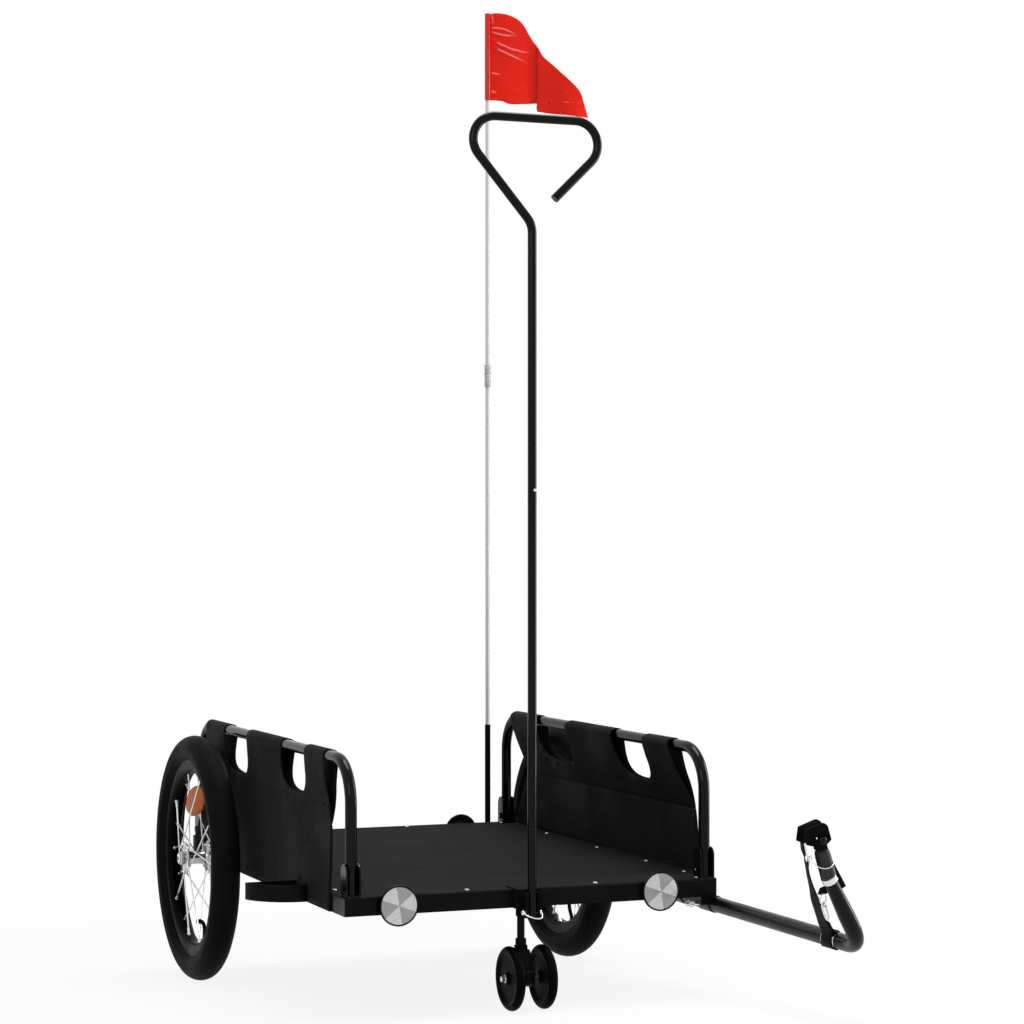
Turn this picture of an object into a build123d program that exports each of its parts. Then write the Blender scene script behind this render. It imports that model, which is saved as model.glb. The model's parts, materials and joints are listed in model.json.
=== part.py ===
"""Flatbed bicycle trailer: two spoked wheels, side hoops with fabric panels,
a twin-wheel caster, a pull handle, a tow arm with its hitch, and a safety flag.

The trailer is drawn level: x to its left, y backwards from the front edge of
the frame, z up from the ground under the big wheels. At the end it is turned
nose down about the axle until the caster stands on that ground too.
"""
import os
from math import asin, atan2, degrees, hypot

from build123d import *

# Frame of square tube with the deck screwed on top
WIDTH = 583.0
LENGTH = 829.0
RAIL = 25.0
RAIL_WALL = 1.5
AXLE_RISE = 8.5
FRONT_CROSSBAR_Y = 200.0
DECK_THICK = 2.0

# Big wheels on stub axles
WHEEL_DIAMETER = 400.0
TYRE_SECTION = 46.0
TYRE_SIDES = 16
AXLE_FROM_REAR = 155.0
WHEEL_OUTBOARD = 35.0
RIM_WIDTH = 26.0
RIM_DEPTH = 17.0
BEAD_DEPTH = 3.0
RIM_LIP = 4.0
RIM_SHOULDER = 5.0
RIM_BRIDGE = 16.0
HUB_LENGTH = 52.0
HUB_BARREL_R = 11.0
FLANGE_R = 27.0
FLANGE_SPACING = 39.0
FLANGE_THICK = 3.0
AXLE_R = 6.0
AXLE_HEAD_R = 10.0
AXLE_HEAD_THICK = 5.0
BUSH_R = 8.0
BUSH_PROUD = 5.0
SPOKES_PER_SIDE = 10
SPOKE_R = 1.1
SPOKE_CROSS_ANGLE = 72.0
SPOKE_STAGGER = 1.45
SPOKE_RIM_X = 3.0
SPOKE_SEAT = 0.2
RUNNING_CLEARANCE = 0.05
END_FLOAT = 0.5
SPOKE_REFLECTOR_LENGTH = 50.0
SPOKE_REFLECTOR_WIDTH = 58.0
SPOKE_REFLECTOR_THICK = 12.0
SPOKE_REFLECTOR_R = 93.0

# Side hoops of round tube, bolted in corner brackets
HOOP_TUBE_R = 8.5
HOOP_INSET = 14.0
HOOP_HEIGHT = 200.0
HOOP_BEND_R = 62.0
BRACKET_PLATE = 2.5
BRACKET_LENGTH = 25.0
BRACKET_HEIGHT = 46.0
BRACKET_GAP = 17.4
BRACKET_BOLT_R = 3.0
BRACKET_BOLT_RISE = 12.0
BOLT_HEAD_R = 5.0
BOLT_HEAD_THICK = 3.0

# Fabric side panels wrapped over the hoops
FABRIC_THICK = 2.4
FABRIC_WRAP = 1.5
FABRIC_EASE = 0.3
PANEL_FRONT_LOW = 64.0
PANEL_FRONT_HIGH = 110.0
PANEL_REAR_LOW = 23.0
PANEL_REAR_HIGH = 79.0
WINDOW_DEPTH = 73.5
WINDOW_CORNER_R = 22.0
WINDOW_TAPER = 26.0
FRONT_WINDOW_START = 203.0
FRONT_WINDOW_LENGTH = 122.0
REAR_WINDOW_START = 319.0
REAR_WINDOW_LENGTH = 135.0

# Bumper loops of flat bar ahead of the wheels
BUMPER_FRONT_Y = 169.0
BUMPER_LENGTH = 58.0
BUMPER_BAR = 3.5
BUMPER_BOW_R = 74.0
BUMPER_STRAIGHT = 8.0

# Round reflectors
REFLECTOR_R = 29.5
REFLECTOR_THICK = 10.0
REFLECTOR_RISE = 13.0
FRONT_REFLECTOR_INSETS = (78.5, 95.5)
REAR_REFLECTOR_INSETS = (92.5, 92.5)

# Front bracket that holds the caster post and the handle's pin
BRACKET_X = -18.5
FRONT_BRACKET_WIDTH = 36.0
FRONT_BRACKET_DEPTH = 21.0
SOCKET_R = 7.5
SOCKET_LENGTH = 14.0
EAR_GAP = 14.0
EAR_THICK = 3.0
EAR_R = 8.5
EAR_SET_BACK = 2.0

# Pull handle of round tube, pinned between the bracket's ears
HANDLE_R = 6.5
HANDLE_FRONT = 31.0
HANDLE_FOOT = 6.0
HANDLE_LOWER = 591.5
HANDLE_HEIGHT = 1142.0
HANDLE_KNEE_DROP = 152.5
HANDLE_END_DROP = 114.7
HANDLE_LEFT_REACH = 152.0
HANDLE_RIGHT_REACH = 130.5
HANDLE_END_ACROSS = 34.7
HANDLE_BEND_R = 34.0
PIN_R = 3.0
PIN_HEAD = 4.0
PIN_DROP = 3.5

# Caster with twin wheels
CASTER_TRAIL = 22.5
CASTER_WHEEL_R = 46.5
CASTER_WHEEL_THICK = 15.0
CASTER_TREAD_SIDES = 8
CASTER_SPACING = 50.0
CASTER_DROP = 100.5
POST_R = 5.6
POST_LENGTH = 46.7
KINGPIN_R = 4.0
KINGPIN_LENGTH = 26.0
COLLAR_R = 8.0
COLLAR_LENGTH = 10.0
SKIRT_R = 9.8
SKIRT_LENGTH = 5.7
FORK_WIDTH = 20.0
FORK_BOSS_R = 13.0
CASTER_AXLE_R = 4.0
CASTER_AXLE_PROUD = 7.0

# Tow arm under the left rail, bent up at its front
ARM_R = 11.5
ARM_OUTSET = 2.0
ARM_TAIL = 150.0
ARM_REACH = 434.0
ARM_BEND_R = 46.0
ARM_RISE_DIRECTION = (-96.0, -40.0, 148.0)
ARM_END_R = 9.0
ARM_END = 116.0
SLEEVE_R = 13.0
SLEEVE_LENGTH = 40.0
SLEEVE_FRONT_Y = 6.0
SLEEVE_REAR_Y = 104.0

# Hitch: ring, rubber, knuckle and the folded bracket that swings on its bolt
HITCH_DIRECTION = (-57.0, -25.0, 148.0)
COUPLER_R = 10.0
COUPLER_LENGTH = 9.0
RUBBER_R = 10.5
RUBBER_CROWN_R = 4.0
RUBBER_REACH = 44.5
KNUCKLE_R = 9.0
KNUCKLE_NECK = 16.0
KNUCKLE_WIDTH = 14.0
HITCH_BOLT_R = 4.0
HITCH_PLATE = 3.0
HITCH_GAP = 15.0
HITCH_OUTLINE = (
    (22.0, -13.5), (22.0, 19.5), (5.0, 27.0), (-4.0, 13.0),
    (-9.0, 5.0), (-9.0, -5.0), (-5.0, -13.5),
)
HITCH_CORNER_R = 9.0
HITCH_FOLD = (2.0, 13.0)
HITCH_AXLE_HOLE = (13.0, 14.0)
HITCH_AXLE_HOLE_R = 5.2

# Webbing straps on the arm: one to the hitch, one behind it with a hook
STRAP_THICK = 2.2
STRAP_WIDTH = 26.0
STRAP_FROM_BEND = 92.0
STRAP_TOP_SHIFT = (-98.0, -114.0, 122.0)
HOOK_STRAP_WIDTH = 14.0
HOOK_STRAP_DIRECTION = (-91.0, -22.0)
HOOK_STRAP_LENGTH = 92.0
HOOK_STRAP_BACK = 13.6

# Safety flag on a two-piece rod
FLAG_INSET = 41.5
FLAG_SLEEVE_R = 5.0
FLAG_SLEEVE_LENGTH = 200.5
FLAG_ROD_R = 4.0
FLAG_LOWER_LENGTH = 621.5
FLAG_HEIGHT = 1660.0
FERRULE_R = 5.8
FERRULE_LENGTH = 40.0
FLAG_HOIST = 155.0
FLAG_FLY = 194.0
FLAG_OUTLINE_RATIOS = ((0, 0), (0.28, 0.02), (0.54, 0.42), (0.86, 0.77), (1, 1.15), (0.48, 1), (0, 1))
FLAG_THICK = 3.0
CLIP_WIDTH = 20.0
CLIP_DEPTH = 14.0

# Sizes that follow from those above
HALF = WIDTH / 2
WHEEL_R = WHEEL_DIAMETER / 2
RAIL_BOTTOM = WHEEL_R - AXLE_RISE
RAIL_TOP = RAIL_BOTTOM + RAIL
DECK_TOP = RAIL_TOP + DECK_THICK
AXLE_Y = LENGTH - AXLE_FROM_REAR
WHEEL_X = HALF + WHEEL_OUTBOARD
RIM_OUTER_R = WHEEL_R - TYRE_SECTION + BEAD_DEPTH
RIM_INNER_R = RIM_OUTER_R - RIM_DEPTH
HOOP_X = HALF - HOOP_INSET
HOOP_TOP = DECK_TOP + HOOP_HEIGHT
HOOP_BAR_Z = HOOP_TOP - HOOP_TUBE_R
WAIST_Z = HOOP_TOP - WINDOW_DEPTH
BOLT_Z = DECK_TOP + BRACKET_BOLT_RISE
HANDLE_Y = -HANDLE_FRONT
PIN_Z = RAIL_BOTTOM - PIN_DROP
HANDLE_TOP = PIN_Z + HANDLE_HEIGHT
POST_BOTTOM = RAIL_BOTTOM - POST_LENGTH
CASTER_POST_Y = RAIL / 2
CASTER_WHEEL_Y = CASTER_POST_Y - CASTER_TRAIL
CASTER_WHEEL_Z = RAIL_BOTTOM - CASTER_DROP
COLLAR_TOP = POST_BOTTOM - RUNNING_CLEARANCE * 6
SKIRT_BOTTOM = COLLAR_TOP - COLLAR_LENGTH - SKIRT_LENGTH
FLAG_X = HALF - FLAG_INSET
FLAG_Y = LENGTH + CLIP_DEPTH / 2
FLAG_SLEEVE_TOP = RAIL_BOTTOM + FLAG_SLEEVE_LENGTH
FLAG_JOINT_Z = FLAG_SLEEVE_TOP + FLAG_LOWER_LENGTH
FLAG_TOP_Z = FLAG_HEIGHT
ARM_X = HALF + ARM_OUTSET
ARM_Z = RAIL_BOTTOM - SLEEVE_R
ARM_CORNER = Vector(ARM_X, -ARM_REACH, ARM_Z)
STRAP_Y = STRAP_FROM_BEND - ARM_REACH
ARM_UP = Vector(*ARM_RISE_DIRECTION).normalized()
RING_MIDDLE = ARM_CORNER + ARM_UP * (ARM_END + COUPLER_LENGTH / 2)
HITCH_UP = Vector(*HITCH_DIRECTION).normalized()
HITCH_BOLT_AT = RING_MIDDLE + HITCH_UP * (RUBBER_REACH + KNUCKLE_NECK)
HITCH_ACROSS = HITCH_UP.cross(Vector(-1, 0, 0)).normalized()


def rod(start, end, radius):
    """Round bar between two points."""
    start = Vector(*start)
    span = Vector(*end) - start
    plane = Plane(origin=start, z_dir=span.normalized())
    return extrude(plane * Circle(radius), span.length)


def box(low, high):
    """Block between two opposite corners."""
    size = [b - a for a, b in zip(low, high)]
    centre = [(a + b) / 2 for a, b in zip(low, high)]
    return Pos(*centre) * Box(*size)


def bent_tube(points, radius, bend):
    """Round tube with capped ends along a polyline whose corners are bent to a radius."""
    path = FilletPolyline(*points, radius=bend)
    return sweep(Plane(origin=path @ 0, z_dir=path % 0) * Circle(radius), path)


def ring_section(radius, middle_r, sides):
    """Round section with flats, one corner outwards, at its distance from the x axis."""
    return Pos(0, middle_r) * Rot(Z=90) * RegularPolygon(radius, sides)


def turned(profile):
    """Solid turned about the x axis from a face drawn with x along it."""
    return revolve(Plane.XZ * profile, Axis.X)


def both_sides(name, left):
    """The left-hand piece and its mirror image."""
    return {
        name + "_left": left,
        name + "_right": mirror(left, about=Plane.YZ),
    }


# Frame


def square_tube(length):
    """Square tube along x, centred."""
    bore = RAIL - 2 * RAIL_WALL
    return Box(length, RAIL, RAIL) - Box(length, bore, bore)


def frame_rails():
    """Four mitred rails; each side rail has a bush for its stub axle."""
    mid_z = RAIL_BOTTOM + RAIL / 2
    nodes = {}
    for name, y, turn in (("front", 0, 0), ("rear", LENGTH, 180)):
        inner = WIDTH / 2 - RAIL
        outline = Polyline((-HALF, 0), (HALF, 0), (inner, RAIL), (-inner, RAIL), close=True)
        wedge = Pos(0, 0, RAIL_BOTTOM) * extrude(make_face(outline), RAIL)
        rail = Pos(0, RAIL / 2, mid_z) * square_tube(WIDTH) & wedge
        nodes["rail_" + name] = Pos(0, y, 0) * Rot(Z=turn) * rail
    outline = Polyline(
        (HALF, 0), (HALF, LENGTH), (HALF - RAIL, LENGTH - RAIL), (HALF - RAIL, RAIL), close=True
    )
    wedge = Pos(0, 0, RAIL_BOTTOM) * extrude(make_face(outline), RAIL)
    side = Pos(HALF - RAIL / 2, LENGTH / 2, mid_z) * Rot(Z=90) * square_tube(LENGTH) & wedge
    bush_ends = ((HALF - RAIL, AXLE_Y, WHEEL_R), (HALF + BUSH_PROUD, AXLE_Y, WHEEL_R))
    side = side + rod(*bush_ends, BUSH_R) - rod(*bush_ends, AXLE_R)
    nodes.update(both_sides("rail", side))
    return nodes


def crossbars():
    """Tubes between the side rails, under the deck."""
    tube = square_tube(WIDTH - 2 * RAIL)
    mid_z = RAIL_BOTTOM + RAIL / 2
    return {
        "crossbar_front": Pos(0, FRONT_CROSSBAR_Y, mid_z) * tube,
        "crossbar_axle": Pos(0, AXLE_Y, mid_z) * tube,
    }


def deck_panel():
    """Flat deck over the whole frame."""
    return box((-HALF, 0, RAIL_TOP), (HALF, LENGTH, DECK_TOP))


def bumper():
    """Loop of flat bar on the rail's outer side: a bowed front and a straight leg behind."""
    bow = Pos(BUMPER_STRAIGHT, BUMPER_BOW_R) * Circle(BUMPER_BOW_R)
    bow += Pos(BUMPER_STRAIGHT - BUMPER_BOW_R, BUMPER_BOW_R) * Rectangle(2 * BUMPER_BOW_R, 2 * BUMPER_BOW_R)
    outer = bow & Pos(0, BUMPER_LENGTH / 2) * Rectangle(4 * BUMPER_BOW_R, BUMPER_LENGTH)
    loop = outer - offset(outer, -BUMPER_BAR, kind=Kind.INTERSECTION)
    loop &= Pos(BUMPER_BOW_R, BUMPER_LENGTH / 2) * Rectangle(2 * BUMPER_BOW_R, BUMPER_LENGTH)
    return Pos(HALF, BUMPER_FRONT_Y, RAIL_BOTTOM) * extrude(loop, RAIL)


# Hoops and side panels


def hoop_bolt(y):
    """Bolt through a bracket and the hoop's leg."""
    reach = BRACKET_GAP / 2 + BRACKET_PLATE
    bolt = rod((HOOP_X - reach, y, BOLT_Z), (HOOP_X + reach, y, BOLT_Z), BRACKET_BOLT_R)
    for side in (-1, 1):
        x = HOOP_X + side * reach
        bolt += rod((x, y, BOLT_Z), (x + side * BOLT_HEAD_THICK, y, BOLT_Z), BOLT_HEAD_R)
    return bolt


def hoop():
    """Inverted U of round tube with bolt holes near its ends."""
    foot = DECK_TOP + BRACKET_PLATE
    front, rear = HOOP_INSET, LENGTH - HOOP_INSET
    path = (
        (HOOP_X, front, foot), (HOOP_X, front, HOOP_BAR_Z),
        (HOOP_X, rear, HOOP_BAR_Z), (HOOP_X, rear, foot),
    )
    tube = bent_tube(path, HOOP_TUBE_R, HOOP_BEND_R)
    for y in (front, rear):
        tube -= rod((HOOP_X - RAIL, y, BOLT_Z), (HOOP_X + RAIL, y, BOLT_Z), BRACKET_BOLT_R)
    return tube


def hoop_bracket(y):
    """Folded channel with two round-topped cheeks and its bolt."""
    round_r = BRACKET_LENGTH / 2
    cheek = Pos(0, (BRACKET_HEIGHT - round_r) / 2) * Rectangle(BRACKET_LENGTH, BRACKET_HEIGHT - round_r)
    cheek += Pos(0, BRACKET_HEIGHT - round_r) * Circle(round_r)
    wall = extrude(Plane.YZ * cheek, BRACKET_PLATE)
    outer = BRACKET_GAP / 2 + BRACKET_PLATE
    base = Pos(0, 0, BRACKET_PLATE / 2) * Box(2 * outer, BRACKET_LENGTH, BRACKET_PLATE)
    channel = base + Pos(-outer, 0, 0) * wall + Pos(BRACKET_GAP / 2, 0, 0) * wall
    return Pos(HOOP_X, y, DECK_TOP) * channel + hoop_bolt(y)


def panel_section():
    """Teardrop of fabric round the top bar, down to the rail's outer face."""
    wrap_r = HOOP_TUBE_R + FABRIC_EASE + FABRIC_WRAP
    face = HALF + FABRIC_EASE
    neck = Polyline(
        (face, RAIL_BOTTOM), (face + FABRIC_THICK, RAIL_BOTTOM), (face + FABRIC_THICK, DECK_TOP),
        (HOOP_X + wrap_r, HOOP_BAR_Z), (HOOP_X, HOOP_BAR_Z - HOOP_TUBE_R - 2 * FABRIC_WRAP),
        (face, DECK_TOP), close=True,
    )
    section = make_face(neck) + Pos(HOOP_X, HOOP_BAR_Z) * Circle(wrap_r)
    return section - Pos(HOOP_X, HOOP_BAR_Z) * Circle(HOOP_TUBE_R + FABRIC_EASE)


def panel_outline():
    """Side view of a panel, with its two windows under the top bar."""
    top = HOOP_TOP + 2 * FABRIC_WRAP + FABRIC_EASE
    low_z = DECK_TOP + 2 * RAIL
    rear_low = LENGTH - PANEL_REAR_LOW
    rear_high = LENGTH - PANEL_REAR_HIGH
    edge = Polyline(
        (PANEL_FRONT_LOW, RAIL_BOTTOM), (rear_low, RAIL_BOTTOM),
        (rear_low - RAIL / 2, low_z), (rear_high, WAIST_Z), (rear_high, top),
        (PANEL_FRONT_HIGH, top), (PANEL_FRONT_HIGH - RAIL / 2, WAIST_Z),
        (PANEL_FRONT_LOW + RAIL / 4, low_z), close=True,
    )
    outline = make_face(edge)
    rear_start = LENGTH - REAR_WINDOW_START
    windows = ((FRONT_WINDOW_START, FRONT_WINDOW_LENGTH), (rear_start, REAR_WINDOW_LENGTH))
    for front, length in windows:
        rear = front + length
        opening = make_face(Polyline(
            (front, top + RAIL), (front, WAIST_Z), (rear - WINDOW_TAPER, WAIST_Z),
            (rear, top), (rear, top + RAIL), close=True,
        ))
        low = opening.vertices().group_by(Axis.Y)[0]
        outline -= fillet(low, WINDOW_CORNER_R)
    return outline


def side_panel():
    """Fabric panel: the teardrop section cut to its side view."""
    sheet = extrude(Plane.XZ * panel_section(), -LENGTH)
    sheet &= extrude(Plane.YZ * panel_outline(), WIDTH)
    for y in (BUMPER_FRONT_Y, BUMPER_FRONT_Y + BUMPER_LENGTH - BUMPER_BAR):
        low = (HALF, y - FABRIC_EASE, RAIL_BOTTOM - FABRIC_EASE)
        high = (HALF + RAIL, y + BUMPER_BAR + FABRIC_EASE, RAIL_TOP + FABRIC_EASE)
        sheet -= box(low, high)
    hole_r = BUSH_R + FABRIC_EASE
    return sheet - rod((HALF, AXLE_Y, WHEEL_R), (HALF + RAIL, AXLE_Y, WHEEL_R), hole_r)


# Big wheels, drawn about the x axis with their middle at the origin


def rim_profile():
    """Half section of the rim, well side up."""
    edge = RIM_WIDTH / 2
    points = [
        (edge, RIM_OUTER_R + RIM_LIP), (edge - RIM_LIP, RIM_OUTER_R), (RIM_LIP - edge, RIM_OUTER_R),
        (-edge, RIM_OUTER_R + RIM_LIP), (-edge, RIM_INNER_R + 2 * RIM_SHOULDER),
        (-RIM_BRIDGE / 2, RIM_INNER_R), (RIM_BRIDGE / 2, RIM_INNER_R),
        (edge, RIM_INNER_R + 2 * RIM_SHOULDER),
    ]
    return make_face(Polyline(*points, close=True))


def tyre():
    """Round tyre seated in the rim."""
    section_r = TYRE_SECTION / 2
    section = ring_section(section_r, WHEEL_R - section_r, TYRE_SIDES)
    below = Pos(0, RIM_OUTER_R - RAIL) * Rectangle(RIM_WIDTH, 2 * RAIL)
    return turned(section - rim_profile() - below)


def hub():
    """Barrel with two spoke flanges and a bore for the stub axle."""
    bore = AXLE_R + RUNNING_CLEARANCE
    shape = Pos(0, (bore + HUB_BARREL_R) / 2) * Rectangle(HUB_LENGTH, HUB_BARREL_R - bore)
    for side in (-1, 1):
        x = side * FLANGE_SPACING / 2
        shape += Pos(x, (bore + FLANGE_R) / 2) * Rectangle(FLANGE_THICK, FLANGE_R - bore)
    return turned(shape)


def spokes():
    """Crossed spokes: each leaves its flange almost along the edge, one way and the other in turn."""
    solids = []
    foot_r = FLANGE_R + SPOKE_R + SPOKE_SEAT
    head_r = RIM_INNER_R - SPOKE_SEAT
    step = 180 / SPOKES_PER_SIDE
    for index in range(2 * SPOKES_PER_SIDE):
        side = 1 if index % 2 else -1
        lean = 1 if index % 4 < 2 else -1
        foot = Vector(side * (FLANGE_SPACING / 2 + lean * SPOKE_STAGGER), 0, foot_r)
        head = Vector(side * (SPOKE_RIM_X + lean * SPOKE_STAGGER), 0, head_r)
        foot = foot.rotate(Axis.X, -lean * SPOKE_CROSS_ANGLE)
        span = head - foot
        bar = extrude(Plane(origin=foot, z_dir=span.normalized()) * RegularPolygon(SPOKE_R, 6), span.length)
        solids.append(Rot(X=index * step) * bar)
    return Compound(children=[Part() + solid for solid in solids])


def spoke_reflector():
    """Flat reflector clipped between the spokes near the rim."""
    plate = RectangleRounded(SPOKE_REFLECTOR_WIDTH, SPOKE_REFLECTOR_LENGTH, RAIL / 2)
    slab = extrude(Plane.YZ * plate, SPOKE_REFLECTOR_THICK / 2, both=True)
    return Pos(0, 0, SPOKE_REFLECTOR_R) * slab


def big_wheels():
    """Both wheels, with the reflector's spokes cut clear of it."""
    centre = Pos(WHEEL_X, AXLE_Y, WHEEL_R)
    nodes = {}
    reflector = spoke_reflector()
    nodes.update(both_sides("tyre", centre * tyre()))
    nodes.update(both_sides("rim", centre * turned(rim_profile())))
    nodes.update(both_sides("hub", centre * hub()))
    nodes.update(both_sides("spokes", centre * (spokes() - reflector)))
    nodes.update(both_sides("spoke_reflector", centre * reflector))
    return nodes


def stub_axle():
    """Axle from the rail through the hub, with its head outside."""
    hub_end = WHEEL_X + HUB_LENGTH / 2 + END_FLOAT
    axle = rod((HALF - RAIL, AXLE_Y, WHEEL_R), (hub_end, AXLE_Y, WHEEL_R), AXLE_R)
    head_end = hub_end + AXLE_HEAD_THICK
    return axle + rod((hub_end, AXLE_Y, WHEEL_R), (head_end, AXLE_Y, WHEEL_R), AXLE_HEAD_R)


# Reflectors and flag


def round_reflector(x, rear):
    """Disc reflector on the front or the rear rail."""
    disc = Cylinder(REFLECTOR_R, REFLECTOR_THICK, align=(Align.CENTER, Align.CENTER, Align.MIN))
    disc = chamfer(disc.edges().group_by(Axis.Z)[-1], REFLECTOR_THICK / 5)
    turn = Rot(X=-90) if rear else Rot(X=90)
    return Pos(x, LENGTH if rear else 0, RAIL_BOTTOM + REFLECTOR_RISE) * turn * disc


def reflectors():
    """Two reflectors in front and two behind."""
    sides = (("right", -1), ("left", 1))
    nodes = {}
    for (name, side), front_inset, rear_inset in zip(sides, FRONT_REFLECTOR_INSETS, REAR_REFLECTOR_INSETS):
        nodes["reflector_front_" + name] = round_reflector(side * (HALF - front_inset), False)
        nodes["reflector_rear_" + name] = round_reflector(side * (HALF - rear_inset), True)
    return nodes


def flag():
    """Clip on the rear rail, sleeve, two-piece rod, ferrule and pennant."""
    foot = (FLAG_X, FLAG_Y, RAIL_BOTTOM)
    joint = (FLAG_X, FLAG_Y, FLAG_JOINT_Z)
    sleeve_top = (FLAG_X, FLAG_Y, FLAG_SLEEVE_TOP)
    half_clip = CLIP_WIDTH / 2
    clip = box((FLAG_X - half_clip, LENGTH, RAIL_BOTTOM), (FLAG_X + half_clip, LENGTH + CLIP_DEPTH, RAIL_TOP))
    half_ferrule = Vector(0, 0, FERRULE_LENGTH / 2)
    ends = (Vector(*joint) - half_ferrule, Vector(*joint) + half_ferrule)
    hoist_x = FLAG_X + FLAG_ROD_R + 2 * RUNNING_CLEARANCE
    corners = [(hoist_x + fly * FLAG_FLY, FLAG_TOP_Z - drop * FLAG_HOIST) for fly, drop in FLAG_OUTLINE_RATIOS]
    sail = Polyline(*corners, close=True)
    pennant = extrude(Plane.XZ * make_face(sail), FLAG_THICK / 2, both=True)
    return {
        "flag_clip": clip - rod(foot, sleeve_top, FLAG_SLEEVE_R),
        "flag_sleeve": rod(foot, sleeve_top, FLAG_SLEEVE_R),
        "flag_rod_lower": rod(sleeve_top, joint, FLAG_ROD_R),
        "flag_rod_upper": rod(joint, (FLAG_X, FLAG_Y, FLAG_TOP_Z), FLAG_ROD_R),
        "flag_ferrule": rod(*ends, FERRULE_R) - rod(*ends, FLAG_ROD_R),
        "flag_pennant": Pos(0, FLAG_Y, 0) * pennant,
    }


# Front bracket, handle and caster


def front_bracket():
    """Block on the front rail with a caster socket below and two ears in front."""
    half = FRONT_BRACKET_WIDTH / 2
    body = box((BRACKET_X - half, -FRONT_BRACKET_DEPTH, RAIL_BOTTOM), (BRACKET_X + half, 0, DECK_TOP))
    plate_top = DECK_TOP + DECK_THICK
    body += box((BRACKET_X - half, -FRONT_BRACKET_DEPTH, DECK_TOP), (BRACKET_X + half, RAIL, plate_top))
    socket_low = RAIL_BOTTOM - SOCKET_LENGTH
    body += rod((BRACKET_X, CASTER_POST_Y, socket_low), (BRACKET_X, CASTER_POST_Y, RAIL_BOTTOM), SOCKET_R)
    body += box((BRACKET_X - SOCKET_R, -FRONT_BRACKET_DEPTH, RAIL_BOTTOM - BRACKET_PLATE),
                (BRACKET_X + SOCKET_R, CASTER_POST_Y, RAIL_BOTTOM))
    body -= rod((BRACKET_X, CASTER_POST_Y, socket_low), (BRACKET_X, CASTER_POST_Y, RAIL_BOTTOM), POST_R)
    ear = Pos(HANDLE_Y + EAR_SET_BACK, PIN_Z) * Circle(EAR_R)
    ear += Pos(HANDLE_Y + EAR_SET_BACK, (PIN_Z + RAIL_TOP) / 2) * Rectangle(2 * EAR_R, RAIL_TOP - PIN_Z)
    for side in (-1, 1):
        middle = BRACKET_X + side * (EAR_GAP + EAR_THICK) / 2
        body += Pos(middle, 0, 0) * extrude(Plane.YZ * ear, EAR_THICK / 2, both=True)
    pin = rod((BRACKET_X - RAIL, HANDLE_Y, PIN_Z), (BRACKET_X + RAIL, HANDLE_Y, PIN_Z), PIN_R)
    return body - pin


def handle_pin():
    """Locking pin through the ears and the handle, with its wire bail."""
    reach = EAR_GAP / 2 + EAR_THICK
    left = (BRACKET_X + reach + PIN_HEAD, HANDLE_Y, PIN_Z)
    right = (BRACKET_X - reach - PIN_HEAD, HANDLE_Y, PIN_Z)
    return rod(right, left, PIN_R)


def handle():
    """Two capped tubes end to end; the upper one is bent into an open grip."""
    foot = (BRACKET_X, HANDLE_Y, PIN_Z - HANDLE_FOOT)
    joint = (BRACKET_X, HANDLE_Y, PIN_Z + HANDLE_LOWER)
    points = (
        joint, (BRACKET_X, HANDLE_Y, HANDLE_TOP - HANDLE_KNEE_DROP),
        (BRACKET_X - HANDLE_RIGHT_REACH, HANDLE_Y, HANDLE_TOP),
        (BRACKET_X + HANDLE_LEFT_REACH, HANDLE_Y, HANDLE_TOP),
        (BRACKET_X + HANDLE_END_ACROSS, HANDLE_Y, HANDLE_TOP - HANDLE_END_DROP),
    )
    hole_r = PIN_R + RUNNING_CLEARANCE
    lower = rod(foot, joint, HANDLE_R)
    lower -= rod((BRACKET_X - RAIL, HANDLE_Y, PIN_Z), (BRACKET_X + RAIL, HANDLE_Y, PIN_Z), hole_r)
    return {"handle_lower": lower, "handle_upper": bent_tube(points, HANDLE_R, HANDLE_BEND_R)}


def caster_wheel():
    """Solid wheel with a rounded tread and a thinner web."""
    bore = CASTER_AXLE_R + RUNNING_CLEARANCE
    tread_r = CASTER_WHEEL_THICK / 2
    ring_r = CASTER_WHEEL_R - tread_r
    shape = ring_section(tread_r, ring_r, CASTER_TREAD_SIDES)
    shape += Pos(0, (ring_r + bore) / 2) * Rectangle(CASTER_WHEEL_THICK * 0.6, ring_r - bore)
    shape += Pos(0, bore + tread_r / 2) * Rectangle(CASTER_WHEEL_THICK, tread_r)
    return turned(shape)


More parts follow.
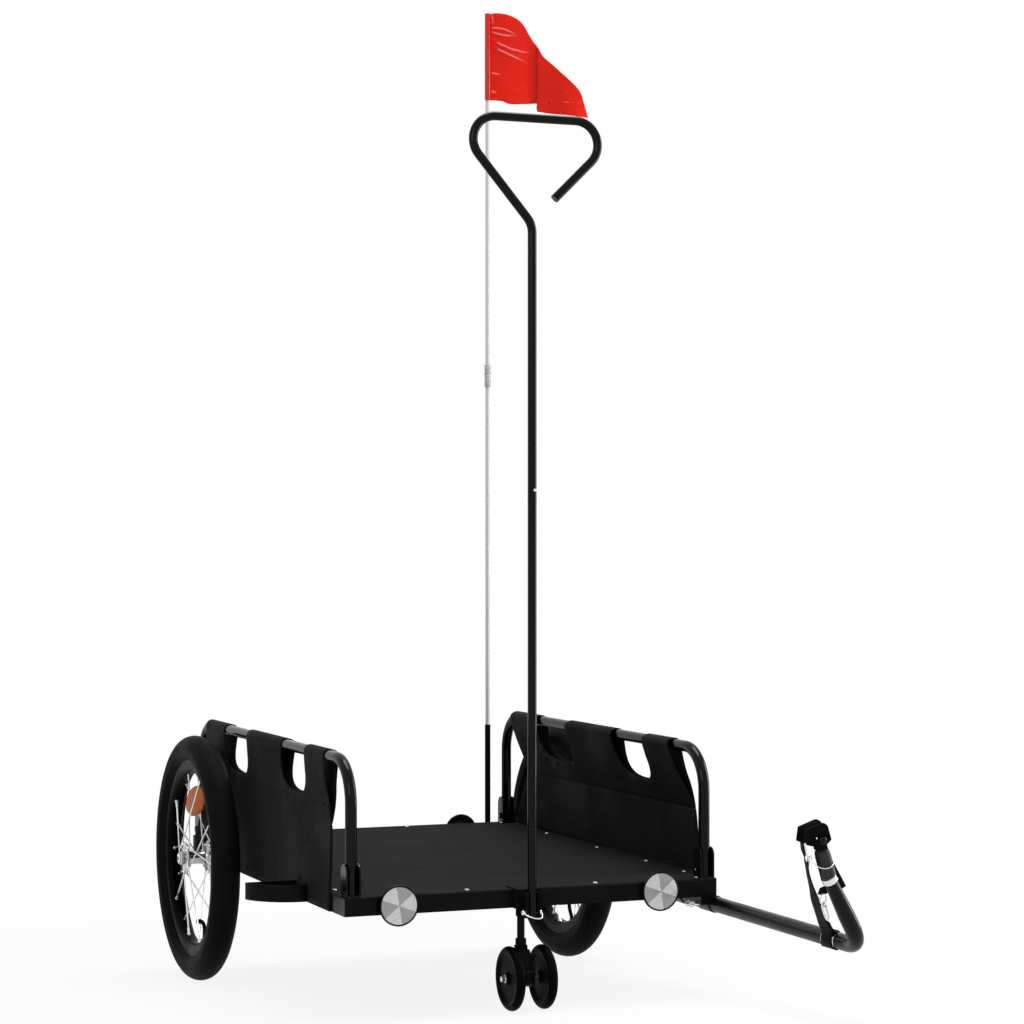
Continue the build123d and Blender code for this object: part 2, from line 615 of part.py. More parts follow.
def caster():
    """Post, swivelling fork and twin wheels."""
    post_top = (BRACKET_X, CASTER_POST_Y, RAIL_BOTTOM)
    post_low = (BRACKET_X, CASTER_POST_Y, POST_BOTTOM)
    pin_low = (BRACKET_X, CASTER_POST_Y, POST_BOTTOM - KINGPIN_LENGTH)
    bore_low = (BRACKET_X, CASTER_POST_Y, POST_BOTTOM - KINGPIN_LENGTH - END_FLOAT)
    axle_at = (CASTER_WHEEL_Y, CASTER_WHEEL_Z)
    side = Pos(*axle_at) * Circle(FORK_BOSS_R)
    side += make_face(Polyline(
        (CASTER_WHEEL_Y - FORK_BOSS_R, CASTER_WHEEL_Z), (CASTER_POST_Y - SKIRT_R, SKIRT_BOTTOM),
        (CASTER_POST_Y + SKIRT_R, SKIRT_BOTTOM), (CASTER_WHEEL_Y + FORK_BOSS_R, CASTER_WHEEL_Z), close=True,
    ))
    fork = Pos(BRACKET_X, 0, 0) * extrude(Plane.YZ * side, FORK_WIDTH / 2, both=True)
    plan_front = CASTER_WHEEL_Y - FORK_BOSS_R
    plan_rear = CASTER_POST_Y + SKIRT_R
    plan = Pos(BRACKET_X, (plan_front + plan_rear) / 2) * RectangleRounded(
        FORK_WIDTH, plan_rear - plan_front, FORK_WIDTH * 0.4
    )
    fork &= extrude(plan, RAIL_BOTTOM)
    skirt_top = SKIRT_BOTTOM + SKIRT_LENGTH
    fork += rod((BRACKET_X, CASTER_POST_Y, SKIRT_BOTTOM), (BRACKET_X, CASTER_POST_Y, skirt_top), SKIRT_R)
    fork += rod((BRACKET_X, CASTER_POST_Y, skirt_top), (BRACKET_X, CASTER_POST_Y, COLLAR_TOP), COLLAR_R)
    fork -= rod(bore_low, (BRACKET_X, CASTER_POST_Y, RAIL_BOTTOM), KINGPIN_R + RUNNING_CLEARANCE)
    reach = CASTER_SPACING / 2 + CASTER_WHEEL_THICK / 2 + CASTER_AXLE_PROUD
    ends = ((BRACKET_X - reach, *axle_at), (BRACKET_X + reach, *axle_at))
    axle = rod(*ends, CASTER_AXLE_R)
    fork -= axle
    wheel = Pos(BRACKET_X, *axle_at) * Pos(CASTER_SPACING / 2, 0, 0) * caster_wheel()
    return {
        "caster_post": rod(post_low, post_top, POST_R) + rod(pin_low, post_low, KINGPIN_R),
        "caster_fork": fork,
        "caster_axle": axle,
        "caster_wheel_left": wheel,
        "caster_wheel_right": Pos(-CASTER_SPACING, 0, 0) * wheel,
    }


# Tow arm and hitch


def along_arm(distance):
    """Point on the raised end of the tow arm, measured from its bend."""
    return ARM_CORNER + ARM_UP * distance


def tow_arm():
    """Tube under the left rail, bent up at its front and tapered at its end."""
    tail = (ARM_X, ARM_TAIL, ARM_Z)
    bend_end = along_arm(ARM_END / 2)
    tube = bent_tube((tail, ARM_CORNER, bend_end), ARM_R, ARM_BEND_R)
    base = Plane(origin=bend_end, z_dir=ARM_UP) * Circle(ARM_R)
    tip = Plane(origin=along_arm(ARM_END), z_dir=ARM_UP) * Circle(ARM_END_R)
    return tube + loft([base, tip]) - tow_lock_pin()


def tow_sleeve(y):
    """Sleeve under the rail that holds the arm, with its saddle."""
    start = (ARM_X, y, ARM_Z)
    end = (ARM_X, y + SLEEVE_LENGTH, ARM_Z)
    saddle = box((ARM_X - RAIL, y, ARM_Z), (ARM_X, y + SLEEVE_LENGTH, RAIL_BOTTOM))
    body = saddle + rod(start, end, SLEEVE_R)
    return body - rod(start, end, ARM_R + RUNNING_CLEARANCE) - tow_lock_pin()


def tow_lock_pin():
    """Pin through the front sleeve and the arm."""
    y = SLEEVE_FRONT_Y + SLEEVE_LENGTH / 2
    return rod((ARM_X - 2 * SLEEVE_R, y, ARM_Z), (ARM_X + SLEEVE_R + PIN_HEAD, y, ARM_Z), PIN_R)


def hitch_slab(profile, low, high):
    """Plate on the hitch: its profile runs up the hitch and to its side, its thickness along the bolt."""
    frame = Plane(origin=HITCH_BOLT_AT + HITCH_ACROSS * low, x_dir=HITCH_UP, z_dir=HITCH_ACROSS)
    return extrude(frame * profile, high - low)


def hitch_rubber():
    """Round rubber block that leans from the ring to the knuckle."""
    length = RUBBER_REACH
    block = Cylinder(RUBBER_R, length, align=(Align.CENTER, Align.CENTER, Align.MIN))
    block = fillet(block.edges().group_by(Axis.Z)[-1], RUBBER_CROWN_R)
    block = Plane(origin=RING_MIDDLE, z_dir=HITCH_UP) * block
    return block - rod(along_arm(0), along_arm(ARM_END + COUPLER_LENGTH), 2 * RUBBER_R)


def hitch_bracket():
    """Folded plate: two cheeks and the fold that joins them, with the axle hole in the rear cheek."""
    cheek = make_face(Polyline(*HITCH_OUTLINE, close=True))
    corner = cheek.vertices().sort_by(Axis.X).group_by(Axis.X)[-1].sort_by(Axis.Y)[0]
    cheek = fillet(corner, HITCH_CORNER_R) - Circle(HITCH_BOLT_R + RUNNING_CLEARANCE)
    near, far = HITCH_GAP / 2, HITCH_GAP / 2 + HITCH_PLATE
    fold_low, fold_high = HITCH_FOLD
    side = HITCH_OUTLINE[0][1] + HITCH_PLATE / 2
    fold = Pos((fold_low + fold_high) / 2, side) * Rectangle(fold_high - fold_low, HITCH_PLATE)
    rear = cheek - Pos(*HITCH_AXLE_HOLE) * Circle(HITCH_AXLE_HOLE_R)
    return hitch_slab(cheek, near, far) + hitch_slab(rear, -far, -near) + hitch_slab(fold, -near, near)


def hitch():
    """Ring, rubber, knuckle, bolt and bracket at the arm's end."""
    ring = rod(along_arm(ARM_END), along_arm(ARM_END + COUPLER_LENGTH), COUPLER_R)
    neck = Pos(-KNUCKLE_NECK / 2, 0) * Rectangle(KNUCKLE_NECK, KNUCKLE_WIDTH)
    knuckle = Circle(KNUCKLE_R) + neck - Circle(HITCH_BOLT_R)
    reach = HITCH_GAP / 2 + HITCH_PLATE + PIN_HEAD
    return {
        "coupler_ring": ring,
        "hitch_rubber": hitch_rubber(),
        "hitch_knuckle": hitch_slab(knuckle, -KNUCKLE_WIDTH / 2, KNUCKLE_WIDTH / 2),
        "hitch_bolt": hitch_slab(Circle(HITCH_BOLT_R), -reach, reach),
        "hitch_bracket": hitch_bracket(),
    }


def straps():
    """Safety strap from a loop round the arm up to the hitch, and the hook's strap behind the hitch."""
    low_y, high_y = STRAP_Y - STRAP_WIDTH / 2, STRAP_Y + STRAP_WIDTH / 2
    ends = ((ARM_X, low_y, ARM_Z), (ARM_X, high_y, ARM_Z))
    loop = rod(*ends, ARM_R + STRAP_THICK)
    arm = rod((ARM_X, low_y - STRAP_WIDTH, ARM_Z), (ARM_X, high_y + STRAP_WIDTH, ARM_Z), ARM_R)
    foot = Vector(ARM_X, STRAP_Y, ARM_Z + ARM_R + STRAP_THICK / 2)
    span = Vector(*STRAP_TOP_SHIFT)
    across = Vector(0, 1, 0) - span * (span.Y / span.length ** 2)
    band = Plane(origin=foot, x_dir=across, z_dir=span) * Rectangle(STRAP_WIDTH, STRAP_THICK)
    run = extrude(band, span.length)
    along = Vector(*HOOK_STRAP_DIRECTION).normalized()
    turn = degrees(atan2(along.Y, along.X))
    middle = HOOK_STRAP_LENGTH / 2 - HOOK_STRAP_WIDTH / 2
    slab = Rot(Z=turn) * Pos(middle, 0) * Rectangle(HOOK_STRAP_LENGTH, HOOK_STRAP_WIDTH) - Circle(HITCH_BOLT_R)
    low = -HOOK_STRAP_BACK - STRAP_THICK / 2
    return {"tow_strap": loop + run - arm, "hook_strap": hitch_slab(slab, low, low + STRAP_THICK)}


def build():
    """Every node of the trailer, drawn level."""
    nodes = {"deck_panel": deck_panel(), "front_bracket": front_bracket(), "handle_pin": handle_pin()}
    nodes.update(frame_rails())
    nodes.update(crossbars())
    nodes.update(both_sides("bumper", bumper()))
    nodes.update(both_sides("hoop", hoop()))
    nodes.update(both_sides("hoop_bracket_front", hoop_bracket(HOOP_INSET)))
    nodes.update(both_sides("hoop_bracket_rear", hoop_bracket(LENGTH - HOOP_INSET)))
    nodes.update(both_sides("side_panel", side_panel()))
    nodes.update(big_wheels())
    nodes.update(both_sides("stub_axle", stub_axle()))
    nodes.update(reflectors())
    nodes.update(flag())
    nodes.update(handle())
    nodes.update(caster())
    nodes["tow_arm"] = tow_arm()
    nodes["tow_sleeve_front"] = tow_sleeve(SLEEVE_FRONT_Y)
    nodes["tow_sleeve_rear"] = tow_sleeve(SLEEVE_REAR_Y)
    nodes["tow_lock_pin"] = tow_lock_pin()
    nodes.update(hitch())
    nodes.update(straps())
    return nodes


def stance():
    """Turn and shift that stand the level trailer on its wheels and caster."""
    reach = AXLE_Y - CASTER_WHEEL_Y
    drop = WHEEL_R - CASTER_WHEEL_Z
    nose_down = degrees(asin((WHEEL_R - CASTER_WHEEL_R) / hypot(reach, drop)) - atan2(drop, reach))
    return Pos(0, 0, WHEEL_R) * Rot(X=nose_down) * Pos(0, -AXLE_Y, -WHEEL_R)


def main():
    """Stand the trailer up, centre it over the origin and write its pieces."""
    os.makedirs("parts", exist_ok=True)
    nodes = {name: stance() * shape for name, shape in build().items()}
    extent = Compound(children=[Part() + shape for shape in nodes.values()]).bounding_box()
    centre = Pos(-(extent.min.X + extent.max.X) / 2, -(extent.min.Y + extent.max.Y) / 2, -extent.min.Z)
    for name, shape in nodes.items():
        export_step(centre * shape, os.path.join("parts", name + ".step"))
    print("nodes", len(nodes), "box", extent.size)


if __name__ == "__main__":
    main()
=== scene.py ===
import json
import math

import bmesh
import bpy
from bpy.props import FloatProperty, FloatVectorProperty, IntProperty, PointerProperty
from mathutils import Matrix, Vector, noise
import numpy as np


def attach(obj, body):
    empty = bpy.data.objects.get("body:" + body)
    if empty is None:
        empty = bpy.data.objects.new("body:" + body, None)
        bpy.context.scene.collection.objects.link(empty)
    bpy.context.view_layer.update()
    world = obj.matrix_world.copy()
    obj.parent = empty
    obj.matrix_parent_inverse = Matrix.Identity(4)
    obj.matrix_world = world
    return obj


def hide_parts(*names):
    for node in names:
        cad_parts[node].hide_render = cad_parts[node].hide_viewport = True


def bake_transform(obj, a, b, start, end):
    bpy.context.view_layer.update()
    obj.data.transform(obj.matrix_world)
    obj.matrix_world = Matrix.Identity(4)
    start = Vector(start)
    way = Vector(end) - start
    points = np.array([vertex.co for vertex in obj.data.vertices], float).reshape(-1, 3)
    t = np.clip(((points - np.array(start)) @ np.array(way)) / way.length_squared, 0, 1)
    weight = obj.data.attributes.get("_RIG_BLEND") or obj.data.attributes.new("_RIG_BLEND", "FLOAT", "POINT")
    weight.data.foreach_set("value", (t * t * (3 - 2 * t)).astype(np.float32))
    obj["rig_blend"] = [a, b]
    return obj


bl_info = {
    "name": "Bicycle Trailer Dressing",
    "version": (1, 0, 0),
    "blender": (4, 5, 0),
    "location": "3D View > Sidebar > Trailer",
    "description": "Dresses the packed bicycle trailer: wheels, fabric sides, hitch, flag and finishes",
    "category": "Object",
}

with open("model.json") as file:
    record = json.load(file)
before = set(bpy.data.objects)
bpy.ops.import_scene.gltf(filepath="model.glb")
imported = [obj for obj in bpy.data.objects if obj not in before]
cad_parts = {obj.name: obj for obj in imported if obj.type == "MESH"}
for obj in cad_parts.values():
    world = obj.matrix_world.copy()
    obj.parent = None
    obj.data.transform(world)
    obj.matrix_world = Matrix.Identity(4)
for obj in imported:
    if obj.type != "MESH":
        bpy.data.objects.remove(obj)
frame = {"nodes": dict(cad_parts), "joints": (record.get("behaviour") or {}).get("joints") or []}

# Places on the trailer, in metres. The trailer is drawn level: x to its left, y backwards from the
# frame's front edge, z up from the ground under the big wheels.
HALF = 0.2915
LENGTH = 0.829
RAIL = 0.025
RAIL_BOTTOM = 0.1915
RAIL_TOP = RAIL_BOTTOM + RAIL
DECK_TOP = RAIL_TOP + 0.002
AXLE_Y = 0.674
WHEEL_X = HALF + 0.035
WHEEL_R = 0.2
HOOP_X = HALF - 0.014
HOOP_R = 0.0085
HOOP_BAR_Z = DECK_TOP + 0.2 - HOOP_R
BRACKET_X = -0.0185
HANDLE_Y = -0.031
PIN_Z = RAIL_BOTTOM - 0.0035
CASTER_AXLE = Vector((BRACKET_X, -0.01, RAIL_BOTTOM - 0.1005))
CASTER_R = 0.0465
CASTER_HALF = 0.0075
CASTER_OUT = 0.025
SEAM_Z = 0.3155
BUMPER_Y = 0.169
BUMPER_LENGTH = 0.058
FLAG_X = HALF - 0.0415
FLAG_Y = LENGTH + 0.007
ARM_X = HALF + 0.002
ARM_Z = RAIL_BOTTOM - 0.013
ARM_R = 0.0115
ARM_UP = Vector((-96, -40, 148)).normalized()
ARM_CORNER = Vector((ARM_X, -0.434, ARM_Z))
RING_MIDDLE = ARM_CORNER + ARM_UP * 0.1205
HITCH_UP = Vector((-57, -25, 148)).normalized()
HITCH_ACROSS = HITCH_UP.cross(Vector((-1, 0, 0))).normalized()
HITCH_ASIDE = HITCH_ACROSS.cross(HITCH_UP)
HITCH_BOLT = RING_MIDDLE + HITCH_UP * 0.0605
SIDES = {"left": 1, "right": -1}


def joint(name):
    """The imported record's joint of that name."""
    return next(j for j in frame["joints"] if j["name"] == name)


def standing():
    """Matrix from the level drawing to where the trailer stands, nose down on its caster."""
    post = joint("caster_swivel")["axis"]
    tilt = math.atan2(-post[1], post[2])
    hub = Vector(joint("wheel_left_spin")["pos_m"])
    level_hub = Vector((WHEEL_X, AXLE_Y, WHEEL_R))
    return Matrix.Translation(hub) @ Matrix.Rotation(tilt, 4, "X") @ Matrix.Translation(-level_hub)


LEVEL = standing()


# Sizes and colours that a user would change


class TrailerPaintSettings(bpy.types.PropertyGroup):
    """Colours of the trailer's finishes"""

    paint: FloatVectorProperty(
        name="Frame paint", description="Gloss black powder coat on the frame, hoops and handle",
        default=(0.0016, 0.0016, 0.0017), subtype="COLOR", min=0, max=1)
    arm: FloatVectorProperty(
        name="Arm paint", description="Dark grey gloss paint on the tow arm",
        default=(0.0036, 0.0036, 0.0038), subtype="COLOR", min=0, max=1)
    fabric: FloatVectorProperty(
        name="Fabric", description="Coated cloth of the side panels",
        default=(0.0105, 0.0105, 0.0109), subtype="COLOR", min=0, max=1)
    deck: FloatVectorProperty(
        name="Deck", description="Grained sheet of the deck",
        default=(0.0165, 0.0165, 0.017), subtype="COLOR", min=0, max=1)
    rubber: FloatVectorProperty(
        name="Rubber", description="Tyres and caster wheels",
        default=(0.0064, 0.0064, 0.0066), subtype="COLOR", min=0, max=1)
    zinc: FloatVectorProperty(
        name="Zinc", description="Bright plated screws, spokes and pins",
        default=(0.74, 0.74, 0.75), subtype="COLOR", min=0, max=1)
    amber: FloatVectorProperty(
        name="Amber", description="Reflectors between the spokes",
        default=(0.54, 0.118, 0.0025), subtype="COLOR", min=0, max=1)
    pennant: FloatVectorProperty(
        name="Pennant", description="Red vinyl of the flag",
        default=(0.65, 0.0122, 0.0044), subtype="COLOR", min=0, max=1)


class TrailerWheelSettings(bpy.types.PropertyGroup):
    """Sizes of the spoked wheels"""

    section: FloatProperty(
        name="Tyre section", description="Width of the tyre", default=0.046, unit="LENGTH")
    tread_rows: IntProperty(
        name="Tread rows", description="Blocks round the tyre", default=112, min=40, max=200)
    tread_depth: FloatProperty(
        name="Tread depth", description="Depth of the grooves", default=0.00012, unit="LENGTH")
    rim_inner: FloatProperty(
        name="Rim inner radius", description="Radius where the nipples sit", default=0.14, unit="LENGTH")
    rim_outer: FloatProperty(
        name="Rim seat radius", description="Radius under the tyre's bead", default=0.157, unit="LENGTH")
    rim_width: FloatProperty(
        name="Rim width", description="Width over the rim's lips", default=0.026, unit="LENGTH")
    flange: FloatProperty(
        name="Flange radius", description="Radius of the hub's flanges", default=0.027, unit="LENGTH")
    spokes: IntProperty(
        name="Spokes", description="Spokes in one wheel", default=20, min=12, max=36)
    spoke_radius: FloatProperty(
        name="Spoke radius", description="Half the gauge of a spoke", default=0.00125, unit="LENGTH")


class TrailerFabricSettings(bpy.types.PropertyGroup):
    """Sizes of the fabric side panels"""

    thickness: FloatProperty(
        name="Thickness", description="Thickness of one layer", default=0.0011, unit="LENGTH")
    hem: FloatProperty(
        name="Hem", description="Width of the turned and stitched edge", default=0.0085, unit="LENGTH")
    slack: FloatProperty(
        name="Slack", description="Depth of the soft waves in the cloth", default=0.0007, unit="LENGTH")
    thread: FloatProperty(
        name="Thread pitch", description="Distance between threads of the weave", default=0.0008,
        unit="LENGTH")


def settings():
    """The three property groups on the scene."""
    scene = bpy.context.scene
    return scene.trailer_paint, scene.trailer_wheels, scene.trailer_fabric


# Modelling helpers


def aim(at, direction):
    """Matrix that stands the z axis along a direction, at a point."""
    return Matrix.Translation(Vector(at)) @ Vector(direction).to_track_quat("Z", "Y").to_matrix().to_4x4()


def axes(at, x, y, z):
    """Matrix from three axis directions and an origin."""
    return Matrix.Translation(Vector(at)) @ Matrix((x, y, z)).transposed().to_4x4()


def move(shape, matrix):
    """Moves the whole of a shape; returns it."""
    bmesh.ops.transform(shape, matrix=matrix, verts=shape.verts)
    return shape


def add(body, part, matrix=None, material=0):
    """Adds a part to a body of mesh, after it is moved, and frees it."""
    if matrix is not None:
        move(part, matrix)
        if matrix.determinant() < 0:
            bmesh.ops.reverse_faces(part, faces=part.faces)
    for face in part.faces:
        face.material_index = material or face.material_index
    shell = bpy.data.meshes.new("part")
    part.to_mesh(shell)
    part.free()
    body.from_mesh(shell)
    bpy.data.meshes.remove(shell)


def clean(shape):
    """Merges doubles and points the faces outwards."""
    bmesh.ops.remove_doubles(shape, verts=shape.verts, dist=2e-6)
    bmesh.ops.recalc_face_normals(shape, faces=shape.faces)
    return shape


def lathe(profile, steps=32):
    """Turned shape about the z axis from (radius, height) points, closed where it meets the axis."""
    shape = bmesh.new()
    verts = [shape.verts.new((radius, 0, height)) for radius, height in profile]
    edges = [shape.edges.new(pair) for pair in zip(verts, verts[1:])]
    bmesh.ops.spin(shape, geom=verts + edges, axis=(0, 0, 1), cent=(0, 0, 0), angle=2 * math.pi,
                   steps=steps, use_merge=True)
    return clean(shape)


def bevel(shape, edges, width):
    """Rounds edges."""
    bmesh.ops.bevel(shape, geom=edges, offset=width, offset_type="OFFSET", segments=2,
                    profile=0.5, affect="EDGES", material=-1, clamp_overlap=True)
    return shape


def sharp_edges(shape, angle=40.0):
    """Edges that turn by more than an angle."""
    return [e for e in shape.edges if len(e.link_faces) == 2 and e.calc_face_angle() > math.radians(angle)]


def rod(start, end, radius, segments=16, end_radius=None, ease=0.0):
    """Round bar between two points, its ends eased."""
    start, end = Vector(start), Vector(end)
    shape = bmesh.new()
    bmesh.ops.create_cone(shape, cap_ends=True, segments=segments, radius1=radius,
                          radius2=radius if end_radius is None else end_radius, depth=(end - start).length)
    if ease:
        bevel(shape, sharp_edges(shape), ease)
    return move(shape, aim((start + end) / 2, end - start))


def block(low, high, ease):
    """Box between two corners with rounded edges."""
    low, high = Vector(low), Vector(high)
    shape = bmesh.new()
    bmesh.ops.create_cube(shape, size=1)
    move(shape, Matrix.Translation((low + high) / 2) @ Matrix.Diagonal((*(high - low), 1)))
    return bevel(shape, shape.edges[:], ease)


def screw(radius, height, recess=True):
    """Domed screw head on the z axis, with a six-sided socket."""
    shape = lathe([(0, 0), (radius, 0), (radius, 0.3 * height), (0.86 * radius, 0.75 * height),
                   (0.5 * radius, height), (0, height)], 18)
    if recess:
        socket = bmesh.new()
        bmesh.ops.create_cone(socket, cap_ends=True, segments=6, radius1=0.42 * radius,
                              radius2=0.42 * radius, depth=0.1 * height)
        top = [f for f in socket.faces if f.normal.z > 0.9]
        bmesh.ops.inset_region(socket, faces=top, thickness=0.08 * radius)
        bmesh.ops.translate(socket, verts=top[0].verts, vec=(0, 0, -0.5 * height))
        add(shape, socket, Matrix.Translation((0, 0, 1.02 * height)))
    return shape


def washer(radius, bore, thickness):
    """Flat ring on the z axis with eased edges."""
    ease = thickness / 4
    return lathe([(bore, 0), (radius - ease, 0), (radius, ease), (radius, thickness - ease),
                  (radius - ease, thickness), (bore, thickness), (bore, 0)], 24)


def hex_nut(radius, bore, height):
    """Six-sided nut on the z axis."""
    shape = bmesh.new()
    bmesh.ops.create_cone(shape, cap_ends=True, segments=6, radius1=radius, radius2=radius, depth=height)
    bmesh.ops.translate(shape, verts=shape.verts, vec=(0, 0, height / 2))
    bevel(shape, shape.edges[:], height * 0.12)
    add(shape, rod((0, 0, height / 2), (0, 0, height * 1.25), bore, 14, ease=height * 0.1))
    return shape


def route(points, radius, resolution):
    """Smooth open curve along given points, in the frame where the trailer stands."""
    curve = bpy.data.curves.new("route", "CURVE")
    curve.dimensions = "3D"
    curve.bevel_depth = radius
    curve.bevel_resolution = 3
    curve.resolution_u = resolution
    curve.use_fill_caps = True
    spline = curve.splines.new("NURBS")
    spline.points.add(len(points) - 1)
    for knot, at in zip(spline.points, points):
        knot.co = (*(LEVEL @ Vector(at)), 1)
    spline.order_u = 3
    spline.use_endpoint_u = True
    return bpy.data.objects.new("route", curve)


def bent_wire(points, radius, resolution=8):
    """Mesh of a wire bent along a smooth line, still in the level drawing."""
    bend = route(points, radius, resolution)
    mesh = bpy.data.meshes.new_from_object(bend)
    shape = bmesh.new()
    shape.from_mesh(mesh)
    move(shape, LEVEL.inverted())
    bpy.data.objects.remove(bend)
    bpy.data.meshes.remove(mesh)
    return clean(shape)


def piece(shape, name, body, finishes, replaces=(), smooth=38.0, ready=False):
    """Makes the finished object: it stands in place in its mesh and rides on a body."""
    if not ready:
        clean(shape)
    move(shape, LEVEL)
    mesh = bpy.data.meshes.new(name)
    shape.to_mesh(mesh)
    shape.free()
    for finish in finishes:
        mesh.materials.append(finish)
    mesh.shade_smooth()
    mesh.set_sharp_from_angle(angle=math.radians(smooth))
    made = bpy.data.objects.new(name, mesh)
    bpy.context.scene.collection.objects.link(made)
    if body:
        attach(made, body)
    if replaces:
        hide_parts(*replaces)
    return made


def thicken(sheet, thickness, offset=0.0):
    """Gives a sheet its thickness."""
    shell = sheet.modifiers.new("thickness", "SOLIDIFY")
    shell.thickness = thickness
    shell.offset = offset


# Shader groups, each built once


def feed(tree, socket, value):
    """Links a socket to another one, or gives it a number or a colour."""
    if isinstance(value, bpy.types.NodeSocket):
        tree.links.new(value, socket)
    elif isinstance(value, (int, float)):
        socket.default_value = value
    else:
        socket.default_value = (*value, 1)


def new_group(name, inputs, outputs):
    """Node group with its sockets to read and to fill; an input without a value is a vector."""
    group = bpy.data.node_groups.new(name, "ShaderNodeTree")
    for label, value in inputs.items():
        kind = "Vector" if value is None else "Float" if isinstance(value, float) else "Color"
        socket = group.interface.new_socket(label, in_out="INPUT", socket_type="NodeSocket" + kind)
        if value is not None:
            socket.default_value = value
    for label in outputs:
        kind = "Color" if label == "Colour" else "Float"
        group.interface.new_socket(label, in_out="OUTPUT", socket_type="NodeSocket" + kind)
    return group, group.nodes.new("NodeGroupInput").outputs, group.nodes.new("NodeGroupOutput").inputs


def maths(tree, operation, *values):
    """Maths node fed with sockets or plain numbers; returns its output."""
    node = tree.nodes.new("ShaderNodeMath")
    node.operation = operation
    for socket, value in zip(node.inputs, values):
        feed(tree, socket, value)
    return node.outputs[0]


def times(tree, first, second):
    """Product of two sockets or numbers."""
    return maths(tree, "MULTIPLY", first, second)


def plus(tree, first, second):
    """Sum of two sockets or numbers."""
    return maths(tree, "ADD", first, second)


def x_and_y(tree, vector):
    """The first two parts of a vector."""
    split = tree.nodes.new("ShaderNodeSeparateXYZ")
    tree.links.new(vector, split.inputs[0])
    return split.outputs["X"], split.outputs["Y"]


def spread(tree, value, low, high, to_low=0.0, to_high=1.0):
    """Smooth map of a value from one range to another."""
    node = tree.nodes.new("ShaderNodeMapRange")
    node.interpolation_type = "SMOOTHSTEP"
    for label, given in (("Value", value), ("From Min", low), ("From Max", high), ("To Min", to_low),
                         ("To Max", to_high)):
        feed(tree, node.inputs[label], given)
    return node.outputs["Result"]


def blotches(tree, vector, scale, detail=3.0, roughness=0.55):
    """Noise value over a vector."""
    node = tree.nodes.new("ShaderNodeTexNoise")
    node.inputs["Detail"].default_value = detail
    node.inputs["Roughness"].default_value = roughness
    feed(tree, node.inputs["Vector"], vector)
    feed(tree, node.inputs["Scale"], scale)
    return node.outputs["Fac"]


def blend_colours(tree, factor, first, second):
    """Colour mix; each side is a socket or a colour."""
    node = tree.nodes.new("ShaderNodeMix")
    node.data_type = "RGBA"
    tree.links.new(factor, node.inputs["Factor"])
    feed(tree, node.inputs[6], first)
    feed(tree, node.inputs[7], second)
    return node.outputs[2]


def aged_surface():
    """Group: patchy colour and roughness with a fine grain in height."""
    group, given, out = new_group(
        "Aged surface",
        {"Vector": None, "Dark": (0.01, 0.01, 0.01, 1), "Light": (0.02, 0.02, 0.02, 1), "Smooth": 0.3,
         "Rough": 0.5, "Patch Scale": 18.0, "Grain Scale": 1800.0},
        ("Colour", "Roughness", "Height"))
    patch = blotches(group, given["Vector"], given["Patch Scale"])
    fine = blotches(group, given["Vector"], given["Grain Scale"], 2.0)
    even = spread(group, patch, 0.32, 0.68)
    mixed = plus(group, times(group, even, 0.7), times(group, fine, 0.3))
    tint = blend_colours(group, mixed, given["Dark"], given["Light"])
    group.links.new(tint, out["Colour"])
    rough = spread(group, mixed, 0.15, 0.85, given["Smooth"], given["Rough"])
    group.links.new(rough, out["Roughness"])
    group.links.new(fine, out["Height"])
    return group


def edge_wear():
    """Group: bare colour and dulled gloss on broken patches along outer edges."""
    group, given, out = new_group(
        "Edge wear",
        {"Vector": None, "Colour": (0.01, 0.01, 0.01, 1), "Bare": (0.1, 0.1, 0.1, 1), "Roughness": 0.3,
         "Amount": 0.5},
        ("Colour", "Roughness", "Mask"))
    rounded = group.nodes.new("ShaderNodeBevel")
    rounded.samples = 4
    rounded.inputs["Radius"].default_value = 0.0009
    face = group.nodes.new("ShaderNodeNewGeometry")
    facing = group.nodes.new("ShaderNodeVectorMath")
    facing.operation = "DOT_PRODUCT"
    group.links.new(rounded.outputs["Normal"], facing.inputs[0])
    group.links.new(face.outputs["Normal"], facing.inputs[1])
    edge = spread(group, facing.outputs["Value"], 0.995, 0.9)
    broken = spread(group, blotches(group, given["Vector"], 260.0, 4.0, 0.7), 0.5, 0.62)
    mask = times(group, times(group, edge, broken), given["Amount"])
    group.links.new(blend_colours(group, mask, given["Colour"], given["Bare"]), out["Colour"])
    dull = plus(group, given["Roughness"], times(group, mask, 0.25))
    group.links.new(dull, out["Roughness"])
    group.links.new(mask, out["Mask"])
    return group


def wave_of(tree, run):
    """Row of rounded humps, one for each unit of a length."""
    return maths(tree, "ABSOLUTE", maths(tree, "SINE", times(tree, run, math.pi)))


def woven_threads():
    """Group: plain weave over a flat pattern measured in metres; its second output is painted shade, darker
    in the hollows between threads and varied by random slubs.
    """
    group, given, out = new_group("Woven threads", {"Flat": None, "Pitch": 0.0008}, ("Height", "Painted Shade"))
    x, y = x_and_y(group, given["Flat"])
    along = maths(group, "DIVIDE", x, given["Pitch"])
    across = maths(group, "DIVIDE", y, given["Pitch"])
    warp, weft = wave_of(group, along), wave_of(group, across)
    cells = plus(group, maths(group, "FLOOR", along), maths(group, "FLOOR", across))
    over = maths(group, "PINGPONG", cells, 1.0)
    upper = times(group, warp, over)
    lower = times(group, weft, maths(group, "SUBTRACT", 1.0, over))
    height = plus(group, upper, lower)
    group.links.new(height, out["Height"])
    # Painted shade: the weave's height, low between the threads, darkens the colour there; the slubs add
    # random tone.
    slub = blotches(group, given["Flat"], 90.0, 4.0)
    group.links.new(times(group, height, spread(group, slub, 0.3, 0.7, 0.6, 1.0)), out["Painted Shade"])
    return group


